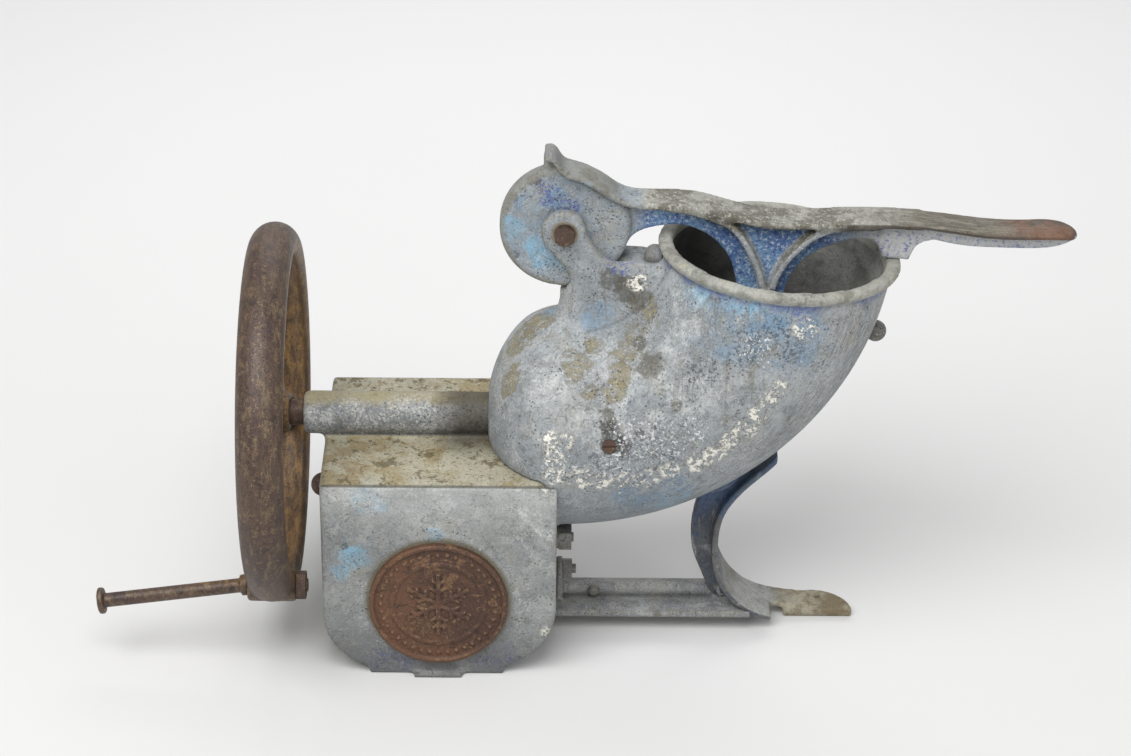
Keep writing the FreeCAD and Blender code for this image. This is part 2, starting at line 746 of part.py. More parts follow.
def pusher_screw_places():
    centre, along, outward = foot_frame()
    places = []
    for a in (-pusher_screw_offset, pusher_screw_offset):
        for b in (-pusher_screw_offset, pusher_screw_offset):
            places.append(centre + outward * a + v(0, b, 0))
    return places


def make_lever():
    hub = rod(v(0, -hub_disc_half, pivot_z), v(0, hub_disc_half, pivot_z), hub_disc_radius)
    hub = hub.makeFillet(2.5, circles(hub))
    stem_end = pusher_angle + math.degrees(pusher_thick / horn_mid)
    centre, along, outward = foot_frame()
    lug = [(283.0, -14.0), (289.5, lug_foot(289.5)), (313.0, lug_foot(313.0)), (318.0, -18.0),
           (326.0, -8.0), (330.0, 6.0)]
    lever = hub.fuse([
        lever_web(),
        strip(bar_top, flange_thick, flange_half),
        strip(left_arc, flange_thick - 0.5, flange_half - 1.5),
        strip(right_arc, flange_thick - 0.5, flange_half - 1.5),
        stem_ring(182, 210, stem_end, -16, web_half),
        stem_ring(192, 199, stem_end, -18, flange_half - 4.0),
        prism(centre, centre + along * 7.0, 52, 4, 45),
        make_nub(),
        plate_xz((291.0, 6.0), lug + [(291.0, 6.0)], 6.5),
    ])
    for loft in grip():
        lever = lever.fuse(loft)
    cuts = [rod(v(0, -40, pivot_z), v(0, 40, pivot_z), pivot_bush_radius)]
    for place in pusher_screw_places():
        cuts.append(rod(place - along, place + along * 9.0, 3.2))
    return lever.cut(cuts)


def make_pusher():
    """The oval plate that presses the ice, with cleats on its working face."""
    centre, along, outward = foot_frame()
    angle = math.degrees(math.atan2(outward.z, outward.x))
    face = centre - along * pusher_thick
    plate = Part.Face(oval(face, angle, pusher_radius, pusher_side_half)).extrude(along * pusher_thick)
    cleats = []
    for n in range(8):
        cleat = Part.makeBox(8, 46, 3.5, v(-4, 28, -0.5))
        cleat.rotate(v(0, 0, 0), v(0, 0, 1), 45.0 * n)
        cleat.Placement = FreeCAD.Placement(face, Rotation(v(0, 0, 1), along * -1)).multiply(cleat.Placement)
        cleats.append(cleat)
    plate = plate.fuse(cleats)
    return plate.cut([rod(p - along * 12, p + along * 2, 3.2) for p in pusher_screw_places()])


def make_pusher_screws():
    centre, along, outward = foot_frame()
    screws = []
    for place in pusher_screw_places():
        stem = rod(place - along * (pusher_thick - 1), place + along * 8.1, 3.1)
        screws.append(one(stem.fuse(prism(place + along * 7.05, place + along * 12, 11, 6))))
    return screws


def make_pivot_bush():
    ends = v(0, -hub_disc_half, pivot_z), v(0, hub_disc_half, pivot_z)
    return sleeve(ends[0], ends[1], pivot_bush_radius, pivot_radius + running)


def make_pivot_bolt():
    under_head = -yoke_outer - 0.05
    shank = rod(v(0, under_head, pivot_z), v(0, yoke_outer + 13, pivot_z), pivot_radius)
    return shank.fuse(prism(v(0, under_head - 6.5, pivot_z), v(0, under_head, pivot_z), 17.5, 6, 30))


def make_pivot_nut():
    """The nut and washer on the bolt's far end."""
    face = yoke_outer + 0.05
    washer = rod(v(0, face, pivot_z), v(0, face + 2, pivot_z), 14)
    nut = prism(v(0, face + 2, pivot_z), v(0, face + 10, pivot_z), 22, 6, 30)
    return nut.fuse(washer).cut(rod(v(0, 0, pivot_z), v(0, 60, pivot_z), pivot_radius))


# Leg and tie rail

strap_line = [(205.0, -213.0), (209.0, -221.0), (207.5, -230.0), (199.0, -243.0), (180.0, -262.0),
              (163.5, -281.0), (154.0, -298.0), (149.5, -320.0), (149.0, -340.0), (153.5, -362.0),
              (165.0, -382.0), (181.0, -396.0), (205.0, -404.5), (240.0, -409.5)]


def make_leg():
    """A curved strap with a web behind it, ending in a screw foot that lies on the floor."""
    band = strip(strap_line, strap, leg_half)
    wide_to = pivot_z - 360.0
    narrow_from = pivot_z - 316.0
    outline = [v(0, -leg_half, -20), v(0, leg_half, -20), v(0, leg_half, wide_to),
               v(0, leg_half_above, narrow_from), v(0, leg_half_above, pivot_z),
               v(0, -leg_half_above, pivot_z), v(0, -leg_half_above, narrow_from), v(0, -leg_half, wide_to)]
    band = band.common(Part.Face(Part.makePolygon(outline + outline[:1])).extrude(v(400, 0, 0)))
    band = band.cut(box(202, 400, -100, 0.0, -50, 200))
    web = [
        [(160.5, -279.0), (151.0, -297.0), (146.5, -320.0), (146.0, -341.0), (150.5, -363.0), (162.0, -384.0),
         (176.0, -397.0)],
        (150.0, -396.0),
        [(139.0, -380.0), (133.5, -366.0), (126.3, -346.6), (123.6, -323.4), (125.8, -300.0), (133.0, -275.0),
         (146.0, -250.0)],
        (170.0, -225.0),
        (177.0, -260.0),
    ]
    rib = plate_xz((177.0, -260.0), web, 7)
    saddle = rod(at_pivot(horn_mid + 75, -60), at_pivot(horn_mid + horn_radius + 8, -60), 20)
    pad_edges = [
        Part.LineSegment(v(215, -2, 0), v(282.5, -2, 0)),
        Part.Arc(v(282.5, -2, 0), v(270.4, 23.7, 0), v(237, 33, 0)),
        Part.LineSegment(v(237, 33, 0), v(215, 28, 0)),
        Part.LineSegment(v(215, 28, 0), v(215, -2, 0)),
    ]
    pad = Part.Face(Part.Wire([e.toShape() for e in pad_edges])).extrude(v(0, 0, pad_thick))
    hole = rod(v(foot_hole[0], foot_hole[1], -5), v(foot_hole[0], foot_hole[1], 30), foot_hole_radius)
    leg = band.fuse([rib, saddle, pad])
    return leg.cut([horn(0), box(100, 400, -100, 100, -60, 0), hole])


def make_rail(leg):
    """A tie bar of tee section with a bead along its top, fitted to the hood and the leg's foot."""
    left = hood_right + 0.1
    reach = left - 40
    bead_z = rail_floor + 15
    flange = box(reach, rail_right, -rail_half, rail_half, rail_floor, rail_floor + 7)
    web = box(reach, rail_right - 6, -4, 4, rail_floor + 6, rail_floor + 18)
    bead = rod(v(reach, 0, bead_z), v(rail_right - 20, 0, bead_z), 6.4)
    ear = rod(v(left, 0, rail_bolt_z), v(left + 6, 0, rail_bolt_z), 12)
    ear_foot = box(left, left + 6, -12, 12, rail_floor + 6, rail_bolt_z)
    rail = flange.fuse([web, bead, ear, ear_foot])
    bolt_way = rod(v(left - 5, 0, rail_bolt_z), v(left + 20, 0, rail_bolt_z), bolt_hole)
    rivet_way = rod(v(rail_rivet_x, -20, bead_z), v(rail_rivet_x, 20, bead_z), 2.5)
    fitted = rail.cut([bolt_way, rivet_way, leg, rounded_cover(-0.15)])
    return max(fitted.Solids, key=lambda solid: solid.Volume)


def make_rail_rivet():
    z = rail_floor + 15
    ball = Part.makeSphere(6.5, v(rail_rivet_x, -5.0, z))
    head = ball.common(box(rail_rivet_x - 12, rail_rivet_x + 12, -20, -6.45, z - 12, z + 12))
    return one(head.fuse(rod(v(rail_rivet_x, -7, z), v(rail_rivet_x, 6.4, z), 2.45)))


def make_rail_bolt():
    inside = hood_right - hood_wall - 6.6
    stem = rod(v(inside, 0, rail_bolt_z), v(hood_right + 19, 0, rail_bolt_z), bolt_radius)
    return one(stem.fuse(rod(v(inside - 5, 0, rail_bolt_z), v(inside, 0, rail_bolt_z), 8)))


def make_rail_nut():
    left = hood_right + 6.2
    nut = prism(v(left, 0, rail_bolt_z), v(left + 9, 0, rail_bolt_z), 17, 4, 20)
    return nut.cut(rod(v(left - 1, 0, rail_bolt_z), v(left + 20, 0, rail_bolt_z), bolt_radius))


os.makedirs(parts_folder, exist_ok=True)

save("hopper_body", one(make_hopper()))
save("discharge_hood", one(make_hood()))
save("clamp_bolts", make_clamp_bolts())
save("clamp_nuts", make_clamp_nuts())
save("hood_side_bolt", make_side_bolt())
save("hood_side_nut", make_side_nut())
save("badge", one(make_badge()))
save("wall_bolts", make_wall_bolts())
save("front_screw", make_front_screw())
leg = one(make_leg())
save("leg", leg)
save("tie_rail", one(make_rail(leg)))
save("rail_rivet", make_rail_rivet())
save("rail_bolt", make_rail_bolt())
save("rail_nut", make_rail_nut())
save("pivot_bolt", one(make_pivot_bolt()))
save("pivot_nut", one(make_pivot_nut()))
save("lever", one(make_lever()))
save("pivot_bush", make_pivot_bush())
save("pusher_plate", one(make_pusher()))
save("pusher_screws", make_pusher_screws())
save("shaft_bushes", make_bushes())
save("drive_shaft", one(make_shaft()))
save("flywheel", one(make_wheel()))
save("wheel_key", make_key())
save("wheel_spacer", make_spacer())
save("thrust_collar", make_collar())
save("crank_pin", make_crank_pin())
save("crank_nut", make_crank_nut())
save("knife_disc", one(make_disc()))
save("knives", make_knives())
save("knife_screws", make_knife_screws())
save("disc_screw", one(make_disc_screw()))
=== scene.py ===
import math

import bmesh
import bpy
import numpy as np
from mathutils import Matrix, Vector


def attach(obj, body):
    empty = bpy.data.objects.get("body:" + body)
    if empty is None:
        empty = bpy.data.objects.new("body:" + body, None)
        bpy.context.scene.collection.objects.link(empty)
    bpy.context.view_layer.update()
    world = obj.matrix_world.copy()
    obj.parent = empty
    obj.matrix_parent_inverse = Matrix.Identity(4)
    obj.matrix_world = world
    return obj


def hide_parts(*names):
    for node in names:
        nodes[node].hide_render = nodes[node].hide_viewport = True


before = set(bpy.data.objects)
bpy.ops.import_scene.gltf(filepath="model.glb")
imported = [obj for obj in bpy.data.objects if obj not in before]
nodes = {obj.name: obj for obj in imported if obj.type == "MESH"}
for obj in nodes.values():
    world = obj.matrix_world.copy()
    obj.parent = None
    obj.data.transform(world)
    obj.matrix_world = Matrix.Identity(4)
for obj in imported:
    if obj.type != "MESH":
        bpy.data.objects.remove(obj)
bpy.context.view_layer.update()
print("stage: frame loaded")

mm = 0.001                                       # sizes are given in millimetres
pivot = Vector((-15.75, 0.0, 420.7)) * mm        # the lever's pivot
shaft = Vector((-15.75, 0.0, 223.0)) * mm        # where the hopper meets the shaft's line


def putInScene(name, data):
    thing = bpy.data.objects.new(name, data)
    bpy.context.scene.collection.objects.link(thing)
    return thing


def plainMesh(thing):                            # the mesh that its modifiers give; the object itself goes
    mesh = bpy.data.meshes.new_from_object(thing.evaluated_get(bpy.context.evaluated_depsgraph_get()))
    bpy.data.objects.remove(thing)
    return mesh


# Camera, as worked out from the photograph: its place in mm, its turns in degrees

camera = {"place": (-27.4, -2537.7, 1658.0), "down": 28.831, "yaw": 0.312, "roll": 0.58, "focal": 99.02,
          "sensor": 36.0, "photo": (1131, 756)}
cameraPlace = Vector(camera["place"]) * mm


def cameraAxes():
    down, yaw, roll = (math.radians(camera[key]) for key in ("down", "yaw", "roll"))
    ahead = Vector((math.sin(yaw) * math.cos(down), math.cos(yaw) * math.cos(down), -math.sin(down)))
    right = ahead.cross(Vector((0, 0, 1))).normalized()
    top = right.cross(ahead)
    tiltedRight = right * math.cos(roll) + top * math.sin(roll)
    tiltedTop = top * math.cos(roll) - right * math.sin(roll)
    return tiltedRight, tiltedTop, ahead


def makeCamera():
    right, top, ahead = cameraAxes()
    data = bpy.data.cameras.new("photoCamera")
    data.sensor_width = camera["sensor"]
    data.lens = camera["focal"]
    data.clip_end = 50.0
    data.dof.use_dof = False
    seen = putInScene("photoCamera", data)
    turn = Matrix((right, top, -ahead)).transposed().to_4x4()
    seen.matrix_world = Matrix.Translation(cameraPlace) @ turn
    bpy.context.scene.camera = seen


def spotAt(px, py):                              # the CAD surface's point at a place in the camera's frame
    right, top, ahead = cameraAxes()
    wide, high = camera["photo"]
    perPixel = camera["sensor"] / camera["focal"] / wide
    aim = (ahead + right * (px - wide / 2) * perPixel - top * (py - high / 2) * perPixel).normalized()
    graph = bpy.context.evaluated_depsgraph_get()
    hit, place = bpy.context.scene.ray_cast(graph, cameraPlace, aim)[:2]
    if not hit:
        raise ValueError(f"no surface under pixel {px}, {py}")
    return place


makeCamera()
print("stage: camera")


# Shader tools

def tint(red, green, blue):                      # a colour as the eye reads it, 0 to 255, made linear
    def linear(value):
        value = value / 255.0
        return value / 12.92 if value <= 0.04045 else ((value + 0.055) / 1.055) ** 2.4
    return (linear(red), linear(green), linear(blue), 1.0)


class Wire:                                      # an output socket that takes plain arithmetic
    def __init__(self, graph, socket):
        self.graph = graph
        self.socket = socket

    def __add__(self, other):
        return self.graph.maths("ADD", self, other)

    def __radd__(self, other):
        return self.graph.maths("ADD", other, self)

    def __sub__(self, other):
        return self.graph.maths("SUBTRACT", self, other)

    def __rsub__(self, other):
        return self.graph.maths("SUBTRACT", other, self)

    def __mul__(self, other):
        return self.graph.maths("MULTIPLY", self, other)

    def __rmul__(self, other):
        return self.graph.maths("MULTIPLY", other, self)

    def __truediv__(self, other):
        return self.graph.maths("DIVIDE", self, other)

    def __rtruediv__(self, other):
        return self.graph.maths("DIVIDE", other, self)

    def __pow__(self, other):
        return self.graph.maths("POWER", self, other)


class Graph:                                     # one material's node tree
    def __init__(self, name):
        self.material = bpy.data.materials.new(name)
        self.material.use_nodes = True
        self.tree = self.material.node_tree
        self.tree.nodes.clear()
        self.place = self.add("ShaderNodeTexCoord", {}, {}, "Object")
        self.x, self.y, self.z = self.parts(self.place)
        self.shape = self.add("ShaderNodeNewGeometry", {}, {}).socket.node

    def add(self, kind, settings, inputs, output=0):
        node = self.tree.nodes.new(kind)
        for key, value in settings.items():
            setattr(node, key, value)
        for key, value in inputs.items():
            if isinstance(value, Wire):
                self.tree.links.new(value.socket, node.inputs[key])
            else:
                node.inputs[key].default_value = value
        return Wire(self, node.outputs[output])

    def parts(self, vector):
        split = self.add("ShaderNodeSeparateXYZ", {}, {0: vector}).socket.node
        return [Wire(self, socket) for socket in split.outputs]

    def maths(self, kind, *values):
        return self.add("ShaderNodeMath", {"operation": kind}, dict(enumerate(values)))

    def noise(self, scale, detail=3.0, rough=0.55, bend=0.0, where=None):
        inputs = {"Vector": where or self.place, "Scale": scale, "Detail": detail, "Roughness": rough,
                  "Distortion": bend}
        return self.add("ShaderNodeTexNoise", {}, inputs)

    def cells(self, scale):
        return self.add("ShaderNodeTexVoronoi", {}, {"Vector": self.place, "Scale": scale})

    def step(self, value, low, high):            # 0 at low, 1 at high, smooth between
        inputs = {"Value": value, "From Min": low, "From Max": high}
        return self.add("ShaderNodeMapRange", {"interpolation_type": "SMOOTHSTEP"}, inputs)

    def most(self, first, second):
        return self.maths("MAXIMUM", first, second)

    def size(self, value):
        return self.maths("ABSOLUTE", value)

    def angle(self, across, up):
        return self.maths("ARCTAN2", up, across)

    def blend(self, share, first, second, kind="MIX"):
        settings = {"data_type": "RGBA", "blend_type": kind}
        return self.add("ShaderNodeMix", settings, {0: share, 6: first, 7: second}, 2)

    def blob(self, centre, size, ragged, soft):  # 1 near a point and 0 away from it, with a ragged edge
        inputs = {0: self.place, 1: tuple(centre)}
        away = self.add("ShaderNodeVectorMath", {"operation": "DISTANCE"}, inputs, 1)
        return self.step(away / (size * mm) + ragged, 0.97 + soft, 0.97 - soft)

    def around(self, across, up, height):        # distance from a line along x or y
        return ((across * across) + (up - height) * (up - height)) ** 0.5

    def bent(self, across, up, along, stretch):  # coordinates out from a line, round it and along it
        radius = (across * across + up * up) ** 0.5
        out, turn, length = stretch
        inputs = {0: radius * out, 1: self.angle(across, up) * turn, 2: along * length}
        return self.add("ShaderNodeCombineXYZ", {}, inputs)

    def squeezed(self, along):                   # coordinates scaled by a factor along each axis
        return self.add("ShaderNodeVectorMath", {"operation": "MULTIPLY"}, {0: self.place, 1: along})

    def edges(self, low, high):                  # how convex or hollow a fine mesh is: for worn edges, for dark rust in hollows, and for painted shade in creases
        return self.step(Wire(self, self.shape.outputs["Pointiness"]), low, high)

    def facingUp(self):
        return self.parts(Wire(self, self.shape.outputs["Normal"]))[2]

    def bump(self, height, deep, normal=None):
        inputs = {"Height": height, "Distance": deep * mm, "Strength": 1.0}
        if normal:
            inputs["Normal"] = normal
        return self.add("ShaderNodeBump", {}, inputs)

    def rounded(self, radius):                   # softens sharp edges in the shading
        return self.add("ShaderNodeBevel", {"samples": 4}, {"Radius": radius * mm})

    def finish(self, colour, rough, metal, normal):
        inputs = {"Base Color": colour, "Roughness": rough, "Metallic": metal, "Normal": normal}
        surface = self.add("ShaderNodeBsdfPrincipled", {}, inputs)
        out = self.tree.nodes.new("ShaderNodeOutputMaterial")
        self.tree.links.new(surface.socket, out.inputs["Surface"])
        return self.material


# Materials

def paintedCasting(name, look):                  # chalky worn paint over a grey casting
    g = Graph(name)
    broad = g.noise(9.0, 4.0, 0.6)
    patchy = g.noise(34.0, 6.0, 0.66, 0.4)
    fine = g.noise(150.0, 6.0, 0.72)
    grain = g.noise(520.0, 4.0, 0.72)
    ragged = (patchy - 0.5) * 2.6 + (fine - 0.5) * 1.3
    cloud = g.noise(24.0, 6.0, 0.68, 0.6) + (fine - 0.5) * 0.3
    colour = g.blend(g.step(broad + (patchy - 0.5) * 0.9, 0.38, 0.62), look["paint"], look["second"])
    colour = g.blend(g.step(g.noise(21.0, 6.0, 0.68), 0.5, 0.68) * look["warmShare"], colour, look["warm"])
    colour = g.blend(g.step(cloud, 0.54, 0.66) * look["cloudShare"], colour, look["cloud"])
    colour = g.blend(g.step(cloud, 0.46, 0.36) * look["cloudShare"], colour, look["second"])
    bare = g.step(patchy * 0.5 + fine * 0.5, 0.52, 0.6)
    colour = g.blend(bare * look["bareShare"], colour, look["bare"])
    height = fine * 0.5 + grain * 0.35 - bare * 0.1
    for spot in look.get("spots", ()):
        kind = spotKinds[spot["kind"]]
        mask = g.blob(spotAt(*spot["at"]), spot["size"], ragged, kind["soft"])
        mask = mask * g.step(g.noise(kind["scale"], 6.0, 0.72), kind["low"], kind["high"]) * kind["share"]
        colour = g.blend(mask, colour, kind["colour"])
        if kind["rim"]:
            colour = g.blend(mask * (kind["share"] - mask) * kind["rim"], colour, look["pit"])
        height = height + mask * kind["rise"]
    crust = g.step(g.noise(24.0, 5.0, 0.65), 0.4, 0.62) * look["crustShare"]
    colour = g.blend(g.step(grain + (fine - 0.5) * 0.8, 0.55, 0.64) * crust, colour, look["crustLight"])
    colour = g.blend(g.step(grain + (fine - 0.5) * 0.8, 0.45, 0.36) * crust, colour, look["crustDark"])
    crack = g.step(g.size(g.noise(58.0, 5.0, 0.62, 0.8) - 0.5), 0.011, 0.002) * g.step(fine, 0.4, 0.6)
    colour = g.blend(crack * 0.55, colour, look["pit"])
    pits = g.step(g.cells(260.0), 0.3, 0.14) * g.step(g.noise(40.0, 3.0), 0.47, 0.6)
    colour = g.blend(pits * look["pitShare"], colour, look["pit"])
    dirt = g.step(g.noise(88.0, 5.0, 0.7), 0.57, 0.68) * look["dirtShare"]
    colour = g.blend(dirt, colour, look["dirt"])
    worn = g.edges(0.512, 0.55) * g.step(fine, 0.3, 0.6)
    colour = g.blend(worn * look["edgeShare"], colour, look["edge"])
    # painted shade: the mesh's concave creases are darkened with a flat grey
    colour = g.blend(g.edges(0.495, 0.462) * 0.75, colour, look["hollow"])
    colour = look["change"](g, colour, ragged) if "change" in look else colour
    speckle = g.blend(g.step(grain, 0.32, 0.68), (0.83, 0.83, 0.83, 1), (1.13, 1.13, 1.13, 1))
    colour = g.blend(1.0, colour, speckle, "MULTIPLY")
    height = height + g.step(grain, 0.5, 0.62) * crust * 0.35 - pits * 0.6 - crack * 0.3
    return g.finish(colour, 0.46 + fine * 0.3 + pits * 0.1, bare * 0.2, g.bump(height, look["relief"]))


def spotKind(colour, scale, low, high, share, rise=0.0, rim=0.0, soft=0.3):
    return {"colour": tint(*colour), "scale": scale, "low": low, "high": high, "share": share,
            "rise": rise, "rim": rim, "soft": soft}


spotKinds = {                                    # colour, noise scale, low, high, share, rise, rim, softness
    "olive": spotKind((130, 119, 82), 95.0, 0.37, 0.52, 0.72, 0.0, 2.0, 0.2),
    "dark": spotKind((84, 80, 66), 95.0, 0.37, 0.52, 0.75, -0.1, 1.8, 0.2),
    "soot": spotKind((48, 44, 40), 90.0, 0.34, 0.54, 0.75, -0.2),
    "flake": spotKind((240, 237, 226), 190.0, 0.48, 0.505, 0.97, 1.3),
    "crumb": spotKind((222, 225, 226), 330.0, 0.515, 0.545, 0.9, 1.0),
    "blue": spotKind((112, 142, 168), 46.0, 0.34, 0.6, 0.65),
    "cyan": spotKind((126, 176, 204), 60.0, 0.34, 0.62, 0.7),
    "violet": spotKind((84, 92, 160), 330.0, 0.5, 0.56, 0.75, -0.2),
    "slate": spotKind((60, 72, 88), 280.0, 0.51, 0.58, 0.75, -0.3),
    "pale": spotKind((204, 206, 204), 60.0, 0.44, 0.6, 0.5, 0.1),
    "ash": spotKind((134, 136, 135), 34.0, 0.36, 0.6, 0.65),
}


def rustyIron(name, look):                       # deep brown rust with lighter scale, rubbed by the hand
    g = Graph(name)
    broad = g.noise(15.0, 5.0, 0.62)
    patchy = g.noise(60.0, 6.0, 0.68, 0.5)
    fine = g.noise(240.0, 6.0, 0.72)
    grain = g.noise(800.0, 3.0)
    colour = g.blend(g.step(broad + (patchy - 0.5) * 0.8, 0.4, 0.6), look["rust"], look["second"])
    scale = g.step(patchy + (fine - 0.5) * 0.5, 0.54, 0.66)
    colour = g.blend(scale * look["scaleShare"], colour, look["light"])
    colour = g.blend(g.step(patchy + (fine - 0.5) * 0.6, 0.45, 0.32) * 0.75, colour, look["deep"])
    colour = g.blend(g.step(fine + (grain - 0.5) * 0.5, 0.6, 0.68) * 0.5, colour, look["fleck"])
    if "change" in look:
        colour = look["change"](g, colour, patchy)
    colour = g.blend(g.edges(0.512, 0.55) * look["edgeShare"], colour, look["edge"])
    colour = g.blend(g.edges(0.495, 0.465) * 0.8, colour, look["deep"])
    pits = g.step(g.cells(380.0), 0.3, 0.14) * g.step(patchy, 0.42, 0.6)
    colour = g.blend(pits * 0.7, colour, look["deep"])
    speckle = g.blend(g.step(grain, 0.3, 0.7), (0.72, 0.72, 0.72, 1), (1.22, 1.22, 1.22, 1))
    colour = g.blend(1.0, colour, speckle, "MULTIPLY")
    height = patchy * 0.6 + fine * 0.8 + grain * 0.25 - pits * 0.6
    under = g.rounded(look["soft"]) if "soft" in look else None
    rough = look["rough"] + (fine - 0.5) * 0.5
    return g.finish(colour, rough, 0.2, g.bump(height, look["relief"], under))


def plainMetal(name, look):                      # turned, ground or cast bare metal
    g = Graph(name)
    patchy = g.noise(55.0, 5.0, 0.6)
    fine = g.noise(380.0, 4.0, 0.6)
    lines = g.noise(240.0, 2.0, 0.5, 0.0, g.squeezed(look["grain"]))
    stained = g.step(fine + (patchy - 0.5) * 0.7, 0.56, 0.68) * look["stainShare"]
    colour = g.blend(g.step(patchy, 0.35, 0.65), look["metal"], look["second"])
    colour = g.blend(stained, colour, look["stain"])
    rough = look["rough"] + patchy * 0.15 + lines * 0.1
    height = fine * 0.4 + lines * 0.5
    return g.finish(colour, rough, look["shine"], g.bump(height, look["relief"], g.rounded(0.5)))


def spots(kind, *places):
    return [{"kind": kind, "at": (px, py), "size": size} for px, py, size in places]


hopper = {                                       # sizes in mm, the sweep in degrees
    "bend": 197.7, "mouth": 103.5, "narrowing": 10.5, "sweep": 85, "washer": 13.5, "lipDrop": 16.5,
    "strokeDark": tint(92, 86, 82), "strokeLight": tint(190, 194, 194), "foot": tint(92, 104, 116),
    # shadedInside and litInside tints are painted shade and painted light inside the hopper
    "drip": tint(112, 108, 88), "shadedInsideDark": tint(52, 51, 48), "shadedInsideLight": tint(84, 82, 78),
    "litInsideDark": tint(112, 111, 106), "litInsideLight": tint(152, 151, 146), "washerTint": tint(136, 122, 98),
    "lipDark": tint(126, 124, 112), "lipLight": tint(172, 171, 162), "lipOlive": tint(188, 180, 138),
    "underLip": tint(84, 98, 148),
}


def hopperChange(g, colour, ragged):             # brushed strokes, drips, the worn lip, painted shade inside and at the low end, and painted light inside
    across, up = g.x - pivot.x, g.z - pivot.z
    radius = g.around(across, g.z, pivot.z)
    along = g.angle(across, up) / math.radians(hopper["sweep"]) + 90 / hopper["sweep"]
    half = (hopper["mouth"] - hopper["narrowing"] * along) * mm
    off = (radius - hopper["bend"] * mm) / (hopper["mouth"] * mm)
    oval = (off * off + (g.y / half) * (g.y / half)) ** 0.5
    inside = g.step(oval, 0.977, 0.966) * g.step(across, 0.0, 0.006)

    strokes = g.noise(1.0, 5.0, 0.7, 0.3, g.bent(across, up, g.y, (900.0, 16.0, 60.0)))
    brushed = g.step(radius, 0.232, 0.262) * g.step(up, -0.03, -0.06) * g.step(across, 0.05, 0.09)
    colour = g.blend(brushed * g.step(strokes, 0.52, 0.62) * 0.6, colour, hopper["strokeDark"])
    colour = g.blend(brushed * g.step(strokes, 0.44, 0.36) * 0.6, colour, hopper["strokeLight"])
    # painted shade: the hopper darkens low down, right of the pivot
    foot = g.step(g.z, 0.25, 0.13) * g.step(across, -0.02, 0.01)
    colour = g.blend(foot * 0.45, colour, hopper["foot"])
    drips = g.noise(1.0, 4.0, 0.6, 0.6, g.squeezed((150.0, 60.0, 11.0)))
    drips = g.step(drips, 0.58, 0.66) * g.step(g.z, 0.2, 0.26) * (1.0 - brushed)
    colour = g.blend(drips * 0.4, colour, hopper["drip"])

    # painted shade: the hopper's inside is dark, with painted light growing towards its upper right
    mottle = g.step(g.noise(40.0, 5.0, 0.7), 0.36, 0.64)
    dark = g.blend(mottle, hopper["shadedInsideDark"], hopper["shadedInsideLight"])
    litInside = g.blend(mottle, hopper["litInsideDark"], hopper["litInsideLight"])
    insideLightAndShade = g.blend(g.step(across + up * 0.5, 0.1, 0.215), dark, litInside)
    colour = g.blend(inside * 0.92, colour, insideLightAndShade)
    washer = g.step(radius, hopper["washer"] * mm, (hopper["washer"] - 2) * mm)
    colour = g.blend(washer * 0.8, colour, hopper["washerTint"])

    rise = g.z + across * 0.0875                 # level with the tilted mouth
    bottom = pivot.z - hopper["lipDrop"] * mm
    nearMouth = g.step(radius, 0.082, 0.0855)
    lip = g.step(rise + ragged * 0.001, bottom, bottom + 0.0015) * nearMouth
    worn = g.blend(g.step(ragged, -0.4, 0.2), hopper["lipDark"], hopper["lipLight"])
    worn = g.blend(g.step(ragged, 0.2, 0.42) * 0.7, worn, hopper["lipOlive"])
    colour = g.blend(lip * 0.88, colour, worn)
    under = g.step(rise, bottom - 0.0095, bottom - 0.0005) * (1.0 - lip) * nearMouth * (1.0 - inside)
    return g.blend(under * g.step(ragged, -0.2, 0.3) * 0.75, colour, hopper["underLip"])


badge = {"x": -130.15, "z": 80.2, "back": -104.02, "radius": 64.5, "halo": 68.0, "beads": 40, "beadRing": 53.5,
         "beadSize": 1.9, "armLength": 33.0, "armWide": 3.4, "rise": 1.6}
hood = {                                         # sizes in mm
    "roof": 203.5, "front": -103.0, "tube": 21.5,
    "roofDark": tint(168, 162, 138), "roofLight": tint(184, 178, 152), "roofBrown": tint(142, 124, 84),
    "roofStain": tint(90, 78, 50), "roofSpeck": tint(60, 52, 38), "gritLight": tint(214, 213, 207),
    "gritDark": tint(92, 98, 110), "tubeTop": tint(160, 150, 116), "tubeShade": tint(80, 76, 66),
    # shoulder is painted light with pale wear; foot is painted shade with grime
    "grimeAndCreaseShade": tint(62, 56, 46), "shoulder": tint(206, 208, 206), "cloud": tint(138, 140, 139),
    "foot": tint(84, 84, 86), "halo": tint(112, 104, 82), "edge": tint(74, 72, 64),
}


